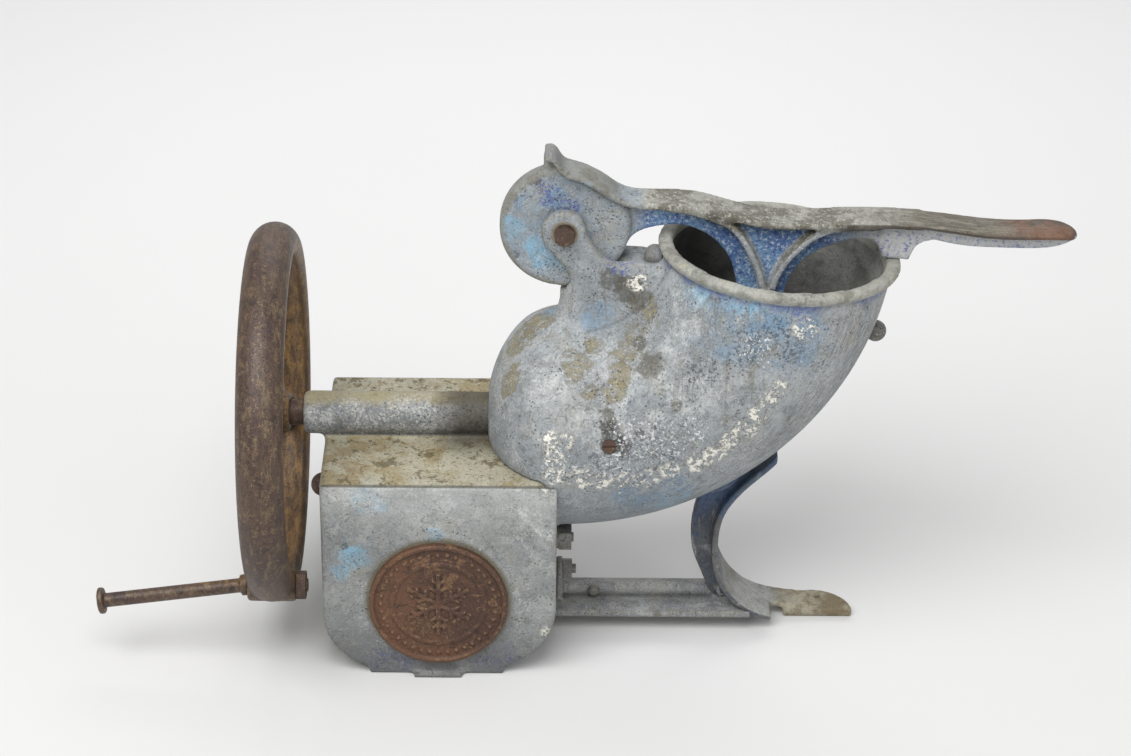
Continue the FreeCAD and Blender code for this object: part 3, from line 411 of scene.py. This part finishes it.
def hoodChange(g, colour, ragged):               # the stained roof, the gritty tube with grime and painted crease shade, and the front panel with painted light above and painted shade below
    tube = g.around(g.y, g.z, shaft.z)
    level = hood["roof"] * mm
    roof = g.step(g.z, level - 0.001, level + 0.001) * g.step(tube, 0.021, 0.024)
    beige = g.blend(g.step(ragged, -0.5, 0.5), hood["roofDark"], hood["roofLight"])
    brown = g.step(g.noise(22.0, 6.0, 0.7, 0.4), 0.45, 0.56)
    stain = g.step(g.noise(70.0, 6.0, 0.72), 0.55, 0.6)
    speck = g.step(g.noise(330.0, 3.0, 0.6), 0.6, 0.66)
    colour = g.blend(roof * 0.78, colour, beige)
    colour = g.blend(roof * brown * 0.7, colour, hood["roofBrown"])
    colour = g.blend(roof * stain * 0.75, colour, hood["roofStain"])
    colour = g.blend(roof * speck * 0.7, colour, hood["roofSpeck"])

    onTube = g.step(tube, (hood["tube"] + 1) * mm, (hood["tube"] - 1) * mm) * g.step(g.z, 0.2, 0.206)
    grit = g.noise(420.0, 5.0, 0.8) + (g.noise(60.0, 4.0, 0.7) - 0.5) * 0.5
    colour = g.blend(onTube * g.step(grit, 0.53, 0.6) * 0.6, colour, hood["gritLight"])
    colour = g.blend(onTube * g.step(grit, 0.46, 0.38) * 0.6, colour, hood["gritDark"])
    top = onTube * g.step(g.z + ragged * 0.007, 0.236, 0.2435)
    colour = g.blend(top * 0.85, colour, hood["tubeTop"])
    shade = onTube * g.step(g.z + ragged * 0.003, 0.214, 0.204)
    colour = g.blend(shade * 0.7, colour, hood["tubeShade"])
    # grime with painted shade: dark where the tube meets the roof, on the right
    grimeAndCreaseShade = g.step(g.x + ragged * 0.012, -0.15, -0.108) * g.step(g.z, 0.2, 0.204)
    grimeAndCreaseShade = grimeAndCreaseShade * g.step(tube + ragged * 0.008, 0.06, 0.02)
    colour = g.blend(grimeAndCreaseShade * 0.85, colour, hood["grimeAndCreaseShade"])

    face = hood["front"] * mm
    front = g.step(g.y, face + 0.0005, face - 0.0005)
    wavy = g.z + ragged * 0.03
    # painted light with pale worn paint: the panel's upper part is paler
    colour = g.blend(front * g.step(wavy, 0.15, 0.205) * 0.5, colour, hood["shoulder"])
    colour = g.blend(front * g.step(g.noise(30.0, 6.0, 0.7), 0.48, 0.58) * 0.6, colour, hood["cloud"])
    # painted shade with grime: the panel darkens towards its bottom
    colour = g.blend(front * g.step(wavy, 0.085, 0.0) * 0.7, colour, hood["foot"])
    fromBadge = g.around(g.x - badge["x"] * mm, g.z, badge["z"] * mm) + ragged * 0.002
    halo = g.step(fromBadge, (badge["halo"] + 2.5) * mm, (badge["halo"] - 2.5) * mm)
    colour = g.blend(front * halo * 0.8, colour, hood["halo"])
    edge = g.step(g.size(g.z - level - 0.0001), 0.0016, 0.0006) * g.step(g.y, -0.1, -0.1025)
    return g.blend(edge * 0.75, colour, hood["edge"])


lever = {                                        # sizes in mm
    "hub": 54.0, "rib": 4.6, "tipRib": 8.8,
    "rim": tint(128, 126, 116), "barPale": tint(154, 153, 144), "barDark": tint(104, 100, 86),
    "barGrit": tint(186, 186, 180), "rib1": tint(164, 169, 173), "rib2": tint(188, 192, 196),
    "webDeep": tint(74, 112, 168), "webLight": tint(112, 152, 188), "webChip": tint(190, 200, 214),
    "webViolet": tint(58, 62, 142), "pale": tint(186, 187, 186), "paleViolet": tint(98, 104, 160),
    # under is rust darkened by painted shade under the grip's flange
    "sootDark": tint(88, 80, 68), "sootLight": tint(134, 129, 115), "under": tint(60, 51, 44),
    "tipRust": tint(118, 84, 64), "tipDark": tint(74, 60, 52),
}


def leverChange(g, colour, ragged):              # the worn bar, the blue web and the burnt, rusty grip, with painted shade under its flange
    along = g.x - pivot.x
    hub = g.around(along, g.z, pivot.z) + ragged * 0.002
    up = g.step(g.facingUp(), 0.15, 0.6)
    past = g.step(along, 0.235, 0.25) * ((lever["tipRib"] - lever["rib"]) * mm)
    wide = g.step(g.size(g.y), lever["rib"] * mm + past, (lever["rib"] + 1.4) * mm + past)
    skin = g.most(up, wide)
    bar = g.step(along, 0.058, 0.075) * skin
    rim = g.step(hub, (lever["hub"] - 2) * mm, (lever["hub"] + 2) * mm) * g.step(along, 0.06, 0.04)
    colour = g.blend(rim * 0.7, colour, lever["rim"])
    grit = g.noise(260.0, 4.0, 0.75)
    patches = g.noise(34.0, 6.0, 0.7)
    worn = g.blend(g.step(patches, 0.42, 0.56), lever["barPale"], lever["barDark"])
    worn = g.blend(g.step(grit, 0.54, 0.6) * 0.6, worn, lever["barGrit"])
    colour = g.blend(bar * 0.92, colour, worn)
    low = g.step(g.z, pivot.z + 0.006, pivot.z - 0.004)
    rib = wide * (1.0 - up) * g.step(along, 0.085, 0.1) * low
    colour = g.blend(rib * 0.85, colour, g.blend(g.step(grit, 0.5, 0.6), lever["rib1"], lever["rib2"]))

    web = g.step(along, 0.06, 0.08) * (1.0 - bar) * g.step(along, 0.29, 0.22)
    blue = g.blend(g.step(g.noise(26.0, 5.0, 0.65), 0.4, 0.6), lever["webDeep"], lever["webLight"])
    blue = g.blend(g.step(grit, 0.55, 0.6) * 0.85, blue, lever["webChip"])
    blue = g.blend(g.step(grit, 0.45, 0.4) * 0.85, blue, lever["webViolet"])
    colour = g.blend(web * 0.88, colour, blue)
    pale = g.step(along, 0.24, 0.29) * (1.0 - bar)
    chips = g.blend(g.step(grit, 0.56, 0.6), lever["pale"], lever["paleViolet"])
    colour = g.blend(pale * 0.8, colour, chips)

    char = g.step(along + ragged * 0.05, 0.24, 0.33) * skin
    streaks = g.noise(1.0, 5.0, 0.7, 0.2, g.squeezed((22.0, 260.0, 200.0)))
    soot = g.blend(g.step(streaks, 0.4, 0.6), lever["sootDark"], lever["sootLight"])
    colour = g.blend(char * 0.8, colour, soot)
    # rust with painted shade: the grip's flange sides and underside are darkened
    under = g.step(along + ragged * 0.02, 0.235, 0.27) * wide * (1.0 - up)
    colour = g.blend(under * 0.8, colour, lever["under"])
    tip = g.step(along + ragged * 0.04, 0.36, 0.44) * skin
    rusty = g.blend(g.step(g.noise(30.0, 6.0, 0.7), 0.44, 0.6), lever["tipRust"], lever["tipDark"])
    return g.blend(tip * 0.85, colour, rusty)


leg = {
    "blue": tint(62, 82, 124), "scratch": tint(170, 172, 170), "padPale": tint(164, 158, 138),
    # the strap's tints are painted light on its upward faces
    "padRust": tint(122, 108, 80), "strapLitPale": tint(162, 163, 160), "strapLitDark": tint(132, 130, 124),
    "high": tint(76, 102, 130),
}


def legChange(g, colour, ragged):                # blue patches, scratches, the rubbed pad, and painted light on the strap's upward faces
    blue = g.step(g.noise(20.0, 5.0, 0.65), 0.5, 0.66) * g.step(g.z, 0.03, 0.07)
    colour = g.blend(blue * 0.7, colour, leg["blue"])
    scratch = g.noise(1.0, 4.0, 0.6, 0.2, g.squeezed((60.0, 300.0, 14.0)))
    colour = g.blend(g.step(scratch, 0.62, 0.67) * 0.7, colour, leg["scratch"])
    pad = g.step(g.x - pivot.x, 0.198, 0.207) * g.step(g.z, 0.022, 0.012)
    padTint = g.blend(g.step(ragged, -0.4, 0.3), leg["padPale"], leg["padRust"])
    colour = g.blend(pad * 0.9, colour, padTint)
    # painted light: the lower leg's upward faces are painted pale
    strapTopLight = g.step(g.facingUp(), 0.2, 0.55) * g.step(g.z, 0.09, 0.07) * (1.0 - pad)
    strapTopLightTint = g.blend(g.step(ragged, -0.4, 0.4), leg["strapLitPale"], leg["strapLitDark"])
    colour = g.blend(strapTopLight * 0.85, colour, strapTopLightTint)
    return g.blend(g.step(g.z, 0.11, 0.15) * 0.5, colour, leg["high"])


wheel = {
    "rimInside": 161.0, "streakDark": tint(58, 46, 46), "streakLight": tint(124, 108, 82),
    "ochre": tint(146, 110, 60), "ochreDark": tint(82, 62, 42),
}


def wheelChange(g, colour, patchy):              # streaks round the rim, and the ochre rust inside it
    radius = g.around(g.y, g.z, shaft.z)
    streaks = g.noise(1.0, 5.0, 0.68, 0.3, g.bent(0.0 - g.y, g.z - shaft.z, g.x, (150.0, 9.0, 190.0)))
    colour = g.blend(g.step(streaks, 0.53, 0.64) * 0.65, colour, wheel["streakDark"])
    colour = g.blend(g.step(streaks, 0.46, 0.36) * 0.55, colour, wheel["streakLight"])
    inside = g.step(radius, (wheel["rimInside"] + 3.5) * mm, (wheel["rimInside"] - 3) * mm)
    mixed = g.step(streaks + (patchy - 0.5) * 0.3, 0.32, 0.66)
    return g.blend(inside * 0.7, colour, g.blend(mixed, wheel["ochre"], wheel["ochreDark"]))


casting = {
    "paint": tint(162, 166, 168), "second": tint(138, 144, 148), "bare": tint(130, 131, 129), "bareShare": 0.5,
    "cloud": tint(184, 187, 188), "cloudShare": 0.55, "warm": tint(156, 152, 138), "warmShare": 0.5,
    "pit": tint(64, 66, 74), "pitShare": 0.7, "dirt": tint(116, 110, 92), "dirtShare": 0.4,
    # hollow is the grey of the painted shade in creases
    "edge": tint(136, 130, 116), "edgeShare": 0.6, "hollow": tint(66, 66, 66),
    "crustLight": tint(204, 206, 205), "crustDark": tint(98, 101, 104), "crustShare": 0.42, "relief": 0.9,
}
looks = {
    "hopper": {**casting, "change": hopperChange, "spots": [
        *spots("blue", (735, 325, 40), (780, 320, 34), (650, 490, 36), (720, 488, 30), (800, 345, 28),
               (600, 315, 16)),
        *spots("cyan", (700, 288, 20), (552, 312, 12), (676, 500, 16), (742, 300, 18)),
        *spots("ash", (700, 350, 40), (640, 330, 26), (580, 410, 30)),
        *spots("pale", (660, 400, 40), (600, 430, 26), (545, 380, 24), (690, 312, 22)),
        *spots("olive", (520, 336, 20), (536, 322, 18), (510, 380, 14), (575, 364, 14), (594, 345, 9),
               (590, 392, 9), (650, 310, 11), (636, 332, 11), (626, 352, 11), (620, 372, 11), (612, 392, 10)),
        *spots("dark", (612, 281, 11), (626, 289, 12), (640, 300, 12), (650, 364, 11), (606, 418, 8),
               (640, 343, 7), (675, 406, 6), (500, 352, 8)),
        *spots("soot", (612, 440, 12), (606, 428, 7), (640, 432, 5), (622, 446, 9)),
        *spots("slate", (752, 344, 20), (778, 330, 14), (700, 372, 18), (792, 350, 16), (650, 455, 28),
               (600, 462, 22)),
        *spots("violet", (806, 306, 14), (790, 300, 12), (620, 262, 12), (712, 282, 10)),
        *spots("flake", (549, 440, 9), (552, 456, 11), (556, 476, 11), (580, 478, 12), (602, 482, 12),
               (626, 482, 12), (650, 480, 12), (670, 472, 11), (699, 463, 12), (716, 452, 12),
               (730, 441, 12), (744, 429, 12), (756, 415, 11), (768, 401, 10), (778, 389, 8), (805, 331, 12), (638, 283, 8), (566, 444, 9)),
        *spots("crumb", (636, 440, 26), (665, 442, 24), (620, 462, 22), (690, 430, 18), (560, 462, 20),
               (760, 350, 16)),
    ]},
    "hood": {**casting, "paint": tint(156, 158, 157), "second": tint(128, 131, 132),
             "cloud": tint(200, 202, 200), "cloudShare": 0.75, "change": hoodChange, "spots": [
        *spots("cyan", (356, 555, 15), (350, 545, 9), (366, 500, 14), (340, 572, 8), (432, 536, 9),
               (380, 505, 8)),
        *spots("violet", (392, 660, 22), (498, 658, 18), (350, 470, 8)),
        *spots("pale", (430, 505, 30), (480, 503, 28), (540, 500, 20), (510, 530, 18), (500, 560, 14)),
        *spots("dark", (403, 488, 7), (344, 546, 4)),
        *spots("flake", (546, 492, 7), (546, 632, 6), (549, 476, 9)),
    ]},
    "lever": {**casting, "paint": tint(150, 157, 161), "second": tint(136, 148, 158),
              "cloud": tint(166, 174, 180), "crustDark": tint(88, 96, 140), "change": leverChange, "spots": [
        *spots("cyan", (550, 262, 14), (562, 252, 12), (511, 224, 13), (534, 246, 9), (586, 250, 8)),
        *spots("blue", (556, 200, 16), (524, 206, 11)),
        *spots("violet", (556, 198, 16), (570, 208, 12), (552, 150, 12), (556, 160, 10), (545, 186, 10)),
        *spots("dark", (514, 254, 5), (600, 192, 10), (588, 176, 8), (512, 198, 6), (534, 180, 6)),
        *spots("ash", (604, 222, 18), (590, 196, 12)),
    ]},
    "leg": {**casting, "paint": tint(92, 95, 99), "second": tint(72, 78, 90), "bare": tint(112, 113, 112),
            "warm": tint(86, 84, 78), "crustLight": tint(132, 135, 138), "crustDark": tint(52, 56, 66),
            "change": legChange},
    "rail": {**casting, "paint": tint(154, 154, 151), "second": tint(128, 130, 133), "dirtShare": 0.6},
}
rust = {
    "rust": tint(88, 70, 58), "second": tint(74, 58, 52), "light": tint(118, 96, 72), "deep": tint(44, 36, 33),
    "edge": tint(124, 106, 84), "edgeShare": 0.5, "fleck": tint(150, 128, 100), "scaleShare": 0.7,
    "rough": 0.55, "relief": 0.6,
}
metal = {"rough": 0.35, "shine": 0.9, "relief": 0.15, "stainShare": 0.5, "grain": (1.0, 1.0, 1.0)}

paints = {
    "hopper": paintedCasting("hopperPaint", looks["hopper"]),
    "hood": paintedCasting("hoodPaint", looks["hood"]),
    "lever": paintedCasting("leverPaint", looks["lever"]),
    "leg": paintedCasting("legPaint", looks["leg"]),
    "rail": paintedCasting("railPaint", looks["rail"]),
    "knob": paintedCasting("knobPaint", {**casting, "paint": tint(132, 134, 136), "second": tint(112, 108, 100),
                                         "edgeShare": 0.0}),
    "wheel": rustyIron("wheelRust", {**rust, "change": wheelChange, "rough": 0.45}),
    "badge": rustyIron("badgeRust", {**rust, "rust": tint(104, 72, 52), "second": tint(80, 56, 44),
                                     "light": tint(130, 98, 70), "edge": tint(134, 104, 76), "edgeShare": 0.7,
                                     "deep": tint(44, 33, 28), "relief": 1.0}),
    "fixing": rustyIron("fixingRust", {**rust, "rust": tint(84, 64, 52), "edgeShare": 0.0, "soft": 0.8,
                                       "relief": 0.3}),
    "greyFixing": rustyIron("fixingGrey", {**rust, "rust": tint(132, 131, 126), "second": tint(104, 103, 100),
                                           "light": tint(132, 122, 102), "edgeShare": 0.0, "soft": 0.8,
                                           "relief": 0.3}),
    "shaft": plainMetal("shaftSteel", {**metal, "metal": tint(150, 148, 142), "second": tint(118, 112, 104),
                                       "stain": tint(92, 74, 56), "rough": 0.3, "grain": (1.0, 8.0, 8.0)}),
    "bronze": plainMetal("bushBronze", {**metal, "metal": tint(168, 132, 82), "second": tint(138, 104, 62),
                                        "stain": tint(84, 66, 44)}),
    "iron": plainMetal("discIron", {**metal, "metal": tint(128, 128, 126), "second": tint(104, 102, 98),
                                    "stain": tint(98, 78, 58), "rough": 0.45, "shine": 0.7, "relief": 0.3}),
    "blade": plainMetal("knifeSteel", {**metal, "metal": tint(178, 178, 176), "second": tint(150, 150, 148),
                                       "stain": tint(116, 92, 70), "rough": 0.22, "shine": 0.95,
                                       "grain": (6.0, 6.0, 1.0), "stainShare": 0.3}),
}
print("stage: materials")


# Castings: each is a merged copy of its CAD node, evened out and rounded like sand cast metal

skins = {                                        # voxel: the mesh's grain in mm; rounds: how soft it gets
    "hopper_body": {"voxel": 2.7, "rounds": 3, "paint": "hopper", "slot": "hopper_paint", "body": "frame"},
    "discharge_hood": {"voxel": 2.6, "rounds": 3, "paint": "hood", "slot": "hood_paint", "body": "frame"},
    "leg": {"voxel": 1.6, "rounds": 5, "paint": "leg", "slot": "leg_paint", "body": "frame"},
    "tie_rail": {"voxel": 1.5, "rounds": 4, "paint": "rail", "slot": "rail_paint", "body": "frame"},
    "lever": {"voxel": 1.7, "rounds": 5, "paint": "lever", "slot": "lever_paint", "body": "lever"},
    "flywheel": {"voxel": 2.3, "rounds": 4, "paint": "wheel", "slot": "wheel_rust", "body": "rotor"},
    "crank_pin": {"voxel": 0.9, "rounds": 4, "paint": "wheel", "slot": "wheel_rust", "body": "rotor"},
}


def mergedCopy(node):
    shape = bmesh.new()
    shape.from_mesh(nodes[node].data)
    bmesh.ops.remove_doubles(shape, verts=shape.verts, dist=0.01 * mm)
    bmesh.ops.recalc_face_normals(shape, faces=shape.faces)
    mesh = bpy.data.meshes.new(node + "Copy")
    shape.to_mesh(mesh)
    shape.free()
    return mesh


def evenMesh(mesh, voxel, name):                 # the same shape in small even squares
    copy = putInScene(name + "Even", mesh)
    change = copy.modifiers.new("even", "REMESH")
    change.mode = "VOXEL"
    change.voxel_size = voxel * mm
    change.use_smooth_shade = True
    even = plainMesh(copy)
    even.name = name
    return even


def relax(mesh, rounds, weight=None):            # pulls each point towards the middle of its neighbours
    count = len(mesh.vertices)
    points = np.empty(count * 3)
    mesh.vertices.foreach_get("co", points)
    points = points.reshape(-1, 3)
    pairs = np.empty(len(mesh.edges) * 2, dtype=np.int64)
    mesh.edges.foreach_get("vertices", pairs)
    first, second = pairs[0::2], pairs[1::2]
    degree = np.maximum(np.bincount(pairs, minlength=count), 1)[:, None]
    share = 0.5 if weight is None else 0.5 * weight(points)[:, None]
    for _ in range(rounds):
        total = np.empty_like(points)
        for axis in range(3):
            total[:, axis] = np.bincount(first, points[second, axis], count)
            total[:, axis] += np.bincount(second, points[first, axis], count)
        points = points + share * (total / degree - points)
    mesh.vertices.foreach_set("co", points.ravel())
    mesh.update()


def ramp(values, low, high):
    share = np.clip((values - low) / (high - low), 0.0, 1.0)
    return share * share * (3 - 2 * share)


neck = {"rounds": 70, "slotHalf": 14.0, "slotDeep": 66.0, "wall": 96.0, "bore": 99.5}


def neckWeight(points):                          # 1 where the ears' neck melts into the hopper, 0 elsewhere
    x, y, z = ((points[:, axis] - pivot[axis]) / mm for axis in range(3))
    away = np.hypot(x, z)
    weight = ramp(z, -30.0, -46.0) * ramp(z, -150.0, -126.0) * ramp(x, -34.0, -22.0) * ramp(x, 118.0, 98.0)
    weight *= ramp(np.abs(y), 74.0, 60.0)
    slot = (np.abs(y) < neck["slotHalf"]) & (away < neck["slotDeep"])
    inside = (away > neck["wall"]) & (np.abs(away - hopper["bend"]) < neck["bore"]) & (x > 20)
    weight[slot | inside] = 0.0
    return weight


def addPiece(mesh, name, paint, body, stands):
    piece = putInScene(name, mesh)
    mesh.materials.clear()
    mesh.materials.append(paints[paint])
    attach(piece, body)
    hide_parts(*stands)


for node, made in skins.items():
    mesh = evenMesh(mergedCopy(node), made["voxel"], node + "_skin")
    if node == "hopper_body":
        relax(mesh, neck["rounds"], neckWeight)
    relax(mesh, made["rounds"])
    addPiece(mesh, node + "_skin", made["paint"], made["body"], [node])
    print("skin", node, len(mesh.polygons))
print("stage: castings")


# Badge: a plain boss with a ring of beads and a six-armed crystal, worn low

def beadRing():                                  # Geometry Nodes: a bead at each point of a circle
    tree = bpy.data.node_groups.new("beadRing", "GeometryNodeTree")
    tree.interface.new_socket("Geometry", in_out="OUTPUT", socket_type="NodeSocketGeometry")
    inputs = []
    for label, kind, value in (
        ("Count", "NodeSocketInt", badge["beads"]),
        ("Ring", "NodeSocketFloat", badge["beadRing"] * mm),
        ("Size", "NodeSocketFloat", badge["beadSize"] * mm),
    ):
        inputs.append((tree.interface.new_socket(label, in_out="INPUT", socket_type=kind), value))
    enter = tree.nodes.new("NodeGroupInput")
    ring = tree.nodes.new("GeometryNodeMeshCircle")
    bead = tree.nodes.new("GeometryNodeMeshIcoSphere")
    bead.inputs["Subdivisions"].default_value = 3
    spread = tree.nodes.new("GeometryNodeInstanceOnPoints")
    real = tree.nodes.new("GeometryNodeRealizeInstances")
    paint = tree.nodes.new("GeometryNodeSetMaterial")
    paint.inputs["Material"].default_value = paints["badge"]
    leave = tree.nodes.new("NodeGroupOutput")
    for start, given, end, taken in (
        (enter, "Count", ring, "Vertices"), (enter, "Ring", ring, "Radius"), (enter, "Size", bead, "Radius"),
        (ring, "Mesh", spread, "Points"), (bead, "Mesh", spread, "Instance"),
        (spread, "Instances", real, "Geometry"), (real, "Geometry", paint, "Geometry"),
        (paint, "Geometry", leave, "Geometry"),
    ):
        tree.links.new(start.outputs[given], end.inputs[taken])
    holder = putInScene("beadHolder", bpy.data.meshes.new("beadHolder"))
    change = holder.modifiers.new("beads", "NODES")
    change.node_group = tree
    for socket, value in inputs:
        change[socket.identifier] = value
    return plainMesh(holder)


def badgeMesh():                                 # drawn flat, facing up, and then stood against the hood
    shape = bmesh.new()
    edge = badge["radius"]
    outline = [(0, 0), (edge, 0), (edge, 5.6), (63.2, 7.3), (60.6, 7.4), (59.2, 5.0), (57.5, 4.5), (45.6, 4.5),
               (44.6, 5.8), (41.4, 5.8), (40.4, 4.6), (20.0, 4.9), (0, 5.1)]
    ring = [shape.verts.new((r * mm, 0, h * mm)) for r, h in outline]
    edges = [shape.edges.new(pair) for pair in zip(ring, ring[1:])]
    turned = {"cent": (0, 0, 0), "axis": (0, 0, 1), "angle": 2 * math.pi, "steps": 96, "use_merge": True}
    bmesh.ops.spin(shape, geom=ring + edges, **turned)
    bmesh.ops.remove_doubles(shape, verts=shape.verts, dist=0.01 * mm)
    bmesh.ops.recalc_face_normals(shape, faces=shape.faces)
    beads = beadRing()
    beads.transform(Matrix.Translation((0, 0, 4.5 * mm)))
    shape.from_mesh(beads)
    for n in range(6):
        turn = Matrix.Rotation(math.radians(60 * n + 30), 4, "Z")
        bars = [(Matrix.Identity(4), badge["armLength"], badge["armWide"])]
        for reach, length in ((13.0, 9.0), (22.0, 7.0)):
            for side in (55, -55):
                lean = Matrix.Translation((reach * mm, 0, 0)) @ Matrix.Rotation(math.radians(side), 4, "Z")
                bars.append((lean, length, badge["armWide"] * 0.8))
        for lean, length, wide in bars:
            size = Matrix.Diagonal((length * mm, wide * mm, 2 * badge["rise"] * mm, 1.0))
            middle = Matrix.Translation((length / 2 * mm, 0, 4.9 * mm))
            bmesh.ops.create_cube(shape, size=1.0, matrix=turn @ lean @ middle @ size)
    mesh = bpy.data.meshes.new("badgeShape")
    shape.to_mesh(mesh)
    shape.free()
    place = Matrix.Translation((badge["x"] * mm, badge["back"] * mm, badge["z"] * mm))
    mesh.transform(place @ Matrix.Rotation(math.radians(90), 4, "X"))
    return mesh


mesh = evenMesh(badgeMesh(), 0.85, "badge_skin")
relax(mesh, 3)
addPiece(mesh, "badge_skin", "badge", "frame", ["badge"])
print("stage: badge", len(mesh.polygons))


# The pieces whose CAD shape is right keep it, and get a finish

finishes = {
    "knob": ["wall_bolts"],
    "fixing": ["hood_side_bolt", "hood_side_nut", "front_screw", "pivot_bolt", "pivot_nut", "pusher_screws",
               "wheel_spacer", "crank_nut"],
    "greyFixing": ["clamp_bolts", "clamp_nuts", "rail_rivet", "rail_bolt", "rail_nut", "knife_screws"],
    "shaft": ["drive_shaft", "wheel_key", "thrust_collar", "disc_screw"],
    "bronze": ["shaft_bushes", "pivot_bush"],
    "iron": ["knife_disc", "pusher_plate"],
    "blade": ["knives"],
}
for paint, names in finishes.items():
    for name in names:
        for place in nodes[name].material_slots:
            place.link = "OBJECT"
            place.material = paints[paint]
print("stage: finishes")


# Studio: pale floor painted lighter towards the back, one large soft light above the front and weaker ones at
# the right and behind

studio = {
    # the floor grows lighter from floor to litFarFloor: painted light
    "floor": tint(217, 217, 216), "litFarFloor": tint(248, 248, 248), "floorSize": 9.0, "floorBack": 2.0,
    "sky": 0.4,
    "lamps": {                                   # place, target, size, power
        "key": ((-0.7, -1.3, 2.3), (0.0, 0.0, 0.2), (2.2, 1.6), 66.0),
        "fill": ((1.9, -1.4, 1.4), (0.1, 0.0, 0.2), (1.6, 1.6), 12.0),
        "back": ((0.2, 1.8, 1.8), (0.0, 0.0, 0.3), (2.2, 1.0), 14.0),
    },
}


def areaLight(name, place, target, size, power):
    data = bpy.data.lights.new(name, "AREA")
    data.shape = "RECTANGLE"
    data.size, data.size_y = size
    data.energy = power
    light = putInScene(name, data)
    light.location = place
    light.rotation_euler = (Vector(target) - Vector(place)).to_track_quat("-Z", "Y").to_euler()


def makeStudio():
    shape = bmesh.new()
    bmesh.ops.create_grid(shape, x_segments=8, y_segments=8, size=studio["floorSize"])
    mesh = bpy.data.meshes.new("floor")
    shape.to_mesh(mesh)
    shape.free()
    floor = putInScene("floor", mesh)
    floor.location = (0, studio["floorBack"], -0.4 * mm)
    g = Graph("floorPaper")
    # painted light: the floor's colour grows lighter towards the back
    away = g.step(g.y + studio["floorBack"] + g.noise(1.2) * 0.3, -0.5, 2.0)
    colour = g.blend(away, studio["floor"], studio["litFarFloor"])
    mesh.materials.append(g.finish(colour, 0.85, 0.0, g.bump(g.noise(300.0), 0.05)))
    world = bpy.data.worlds.new("studioSky")
    world.use_nodes = True
    sky = world.node_tree.nodes["Background"]
    sky.inputs["Color"].default_value = (1.0, 1.0, 1.0, 1.0)
    sky.inputs["Strength"].default_value = studio["sky"]
    bpy.context.scene.world = world
    for name, lamp in studio["lamps"].items():
        areaLight(name, *lamp)


makeStudio()
bpy.context.scene.view_settings.view_transform = "Standard"
print("stage: studio")
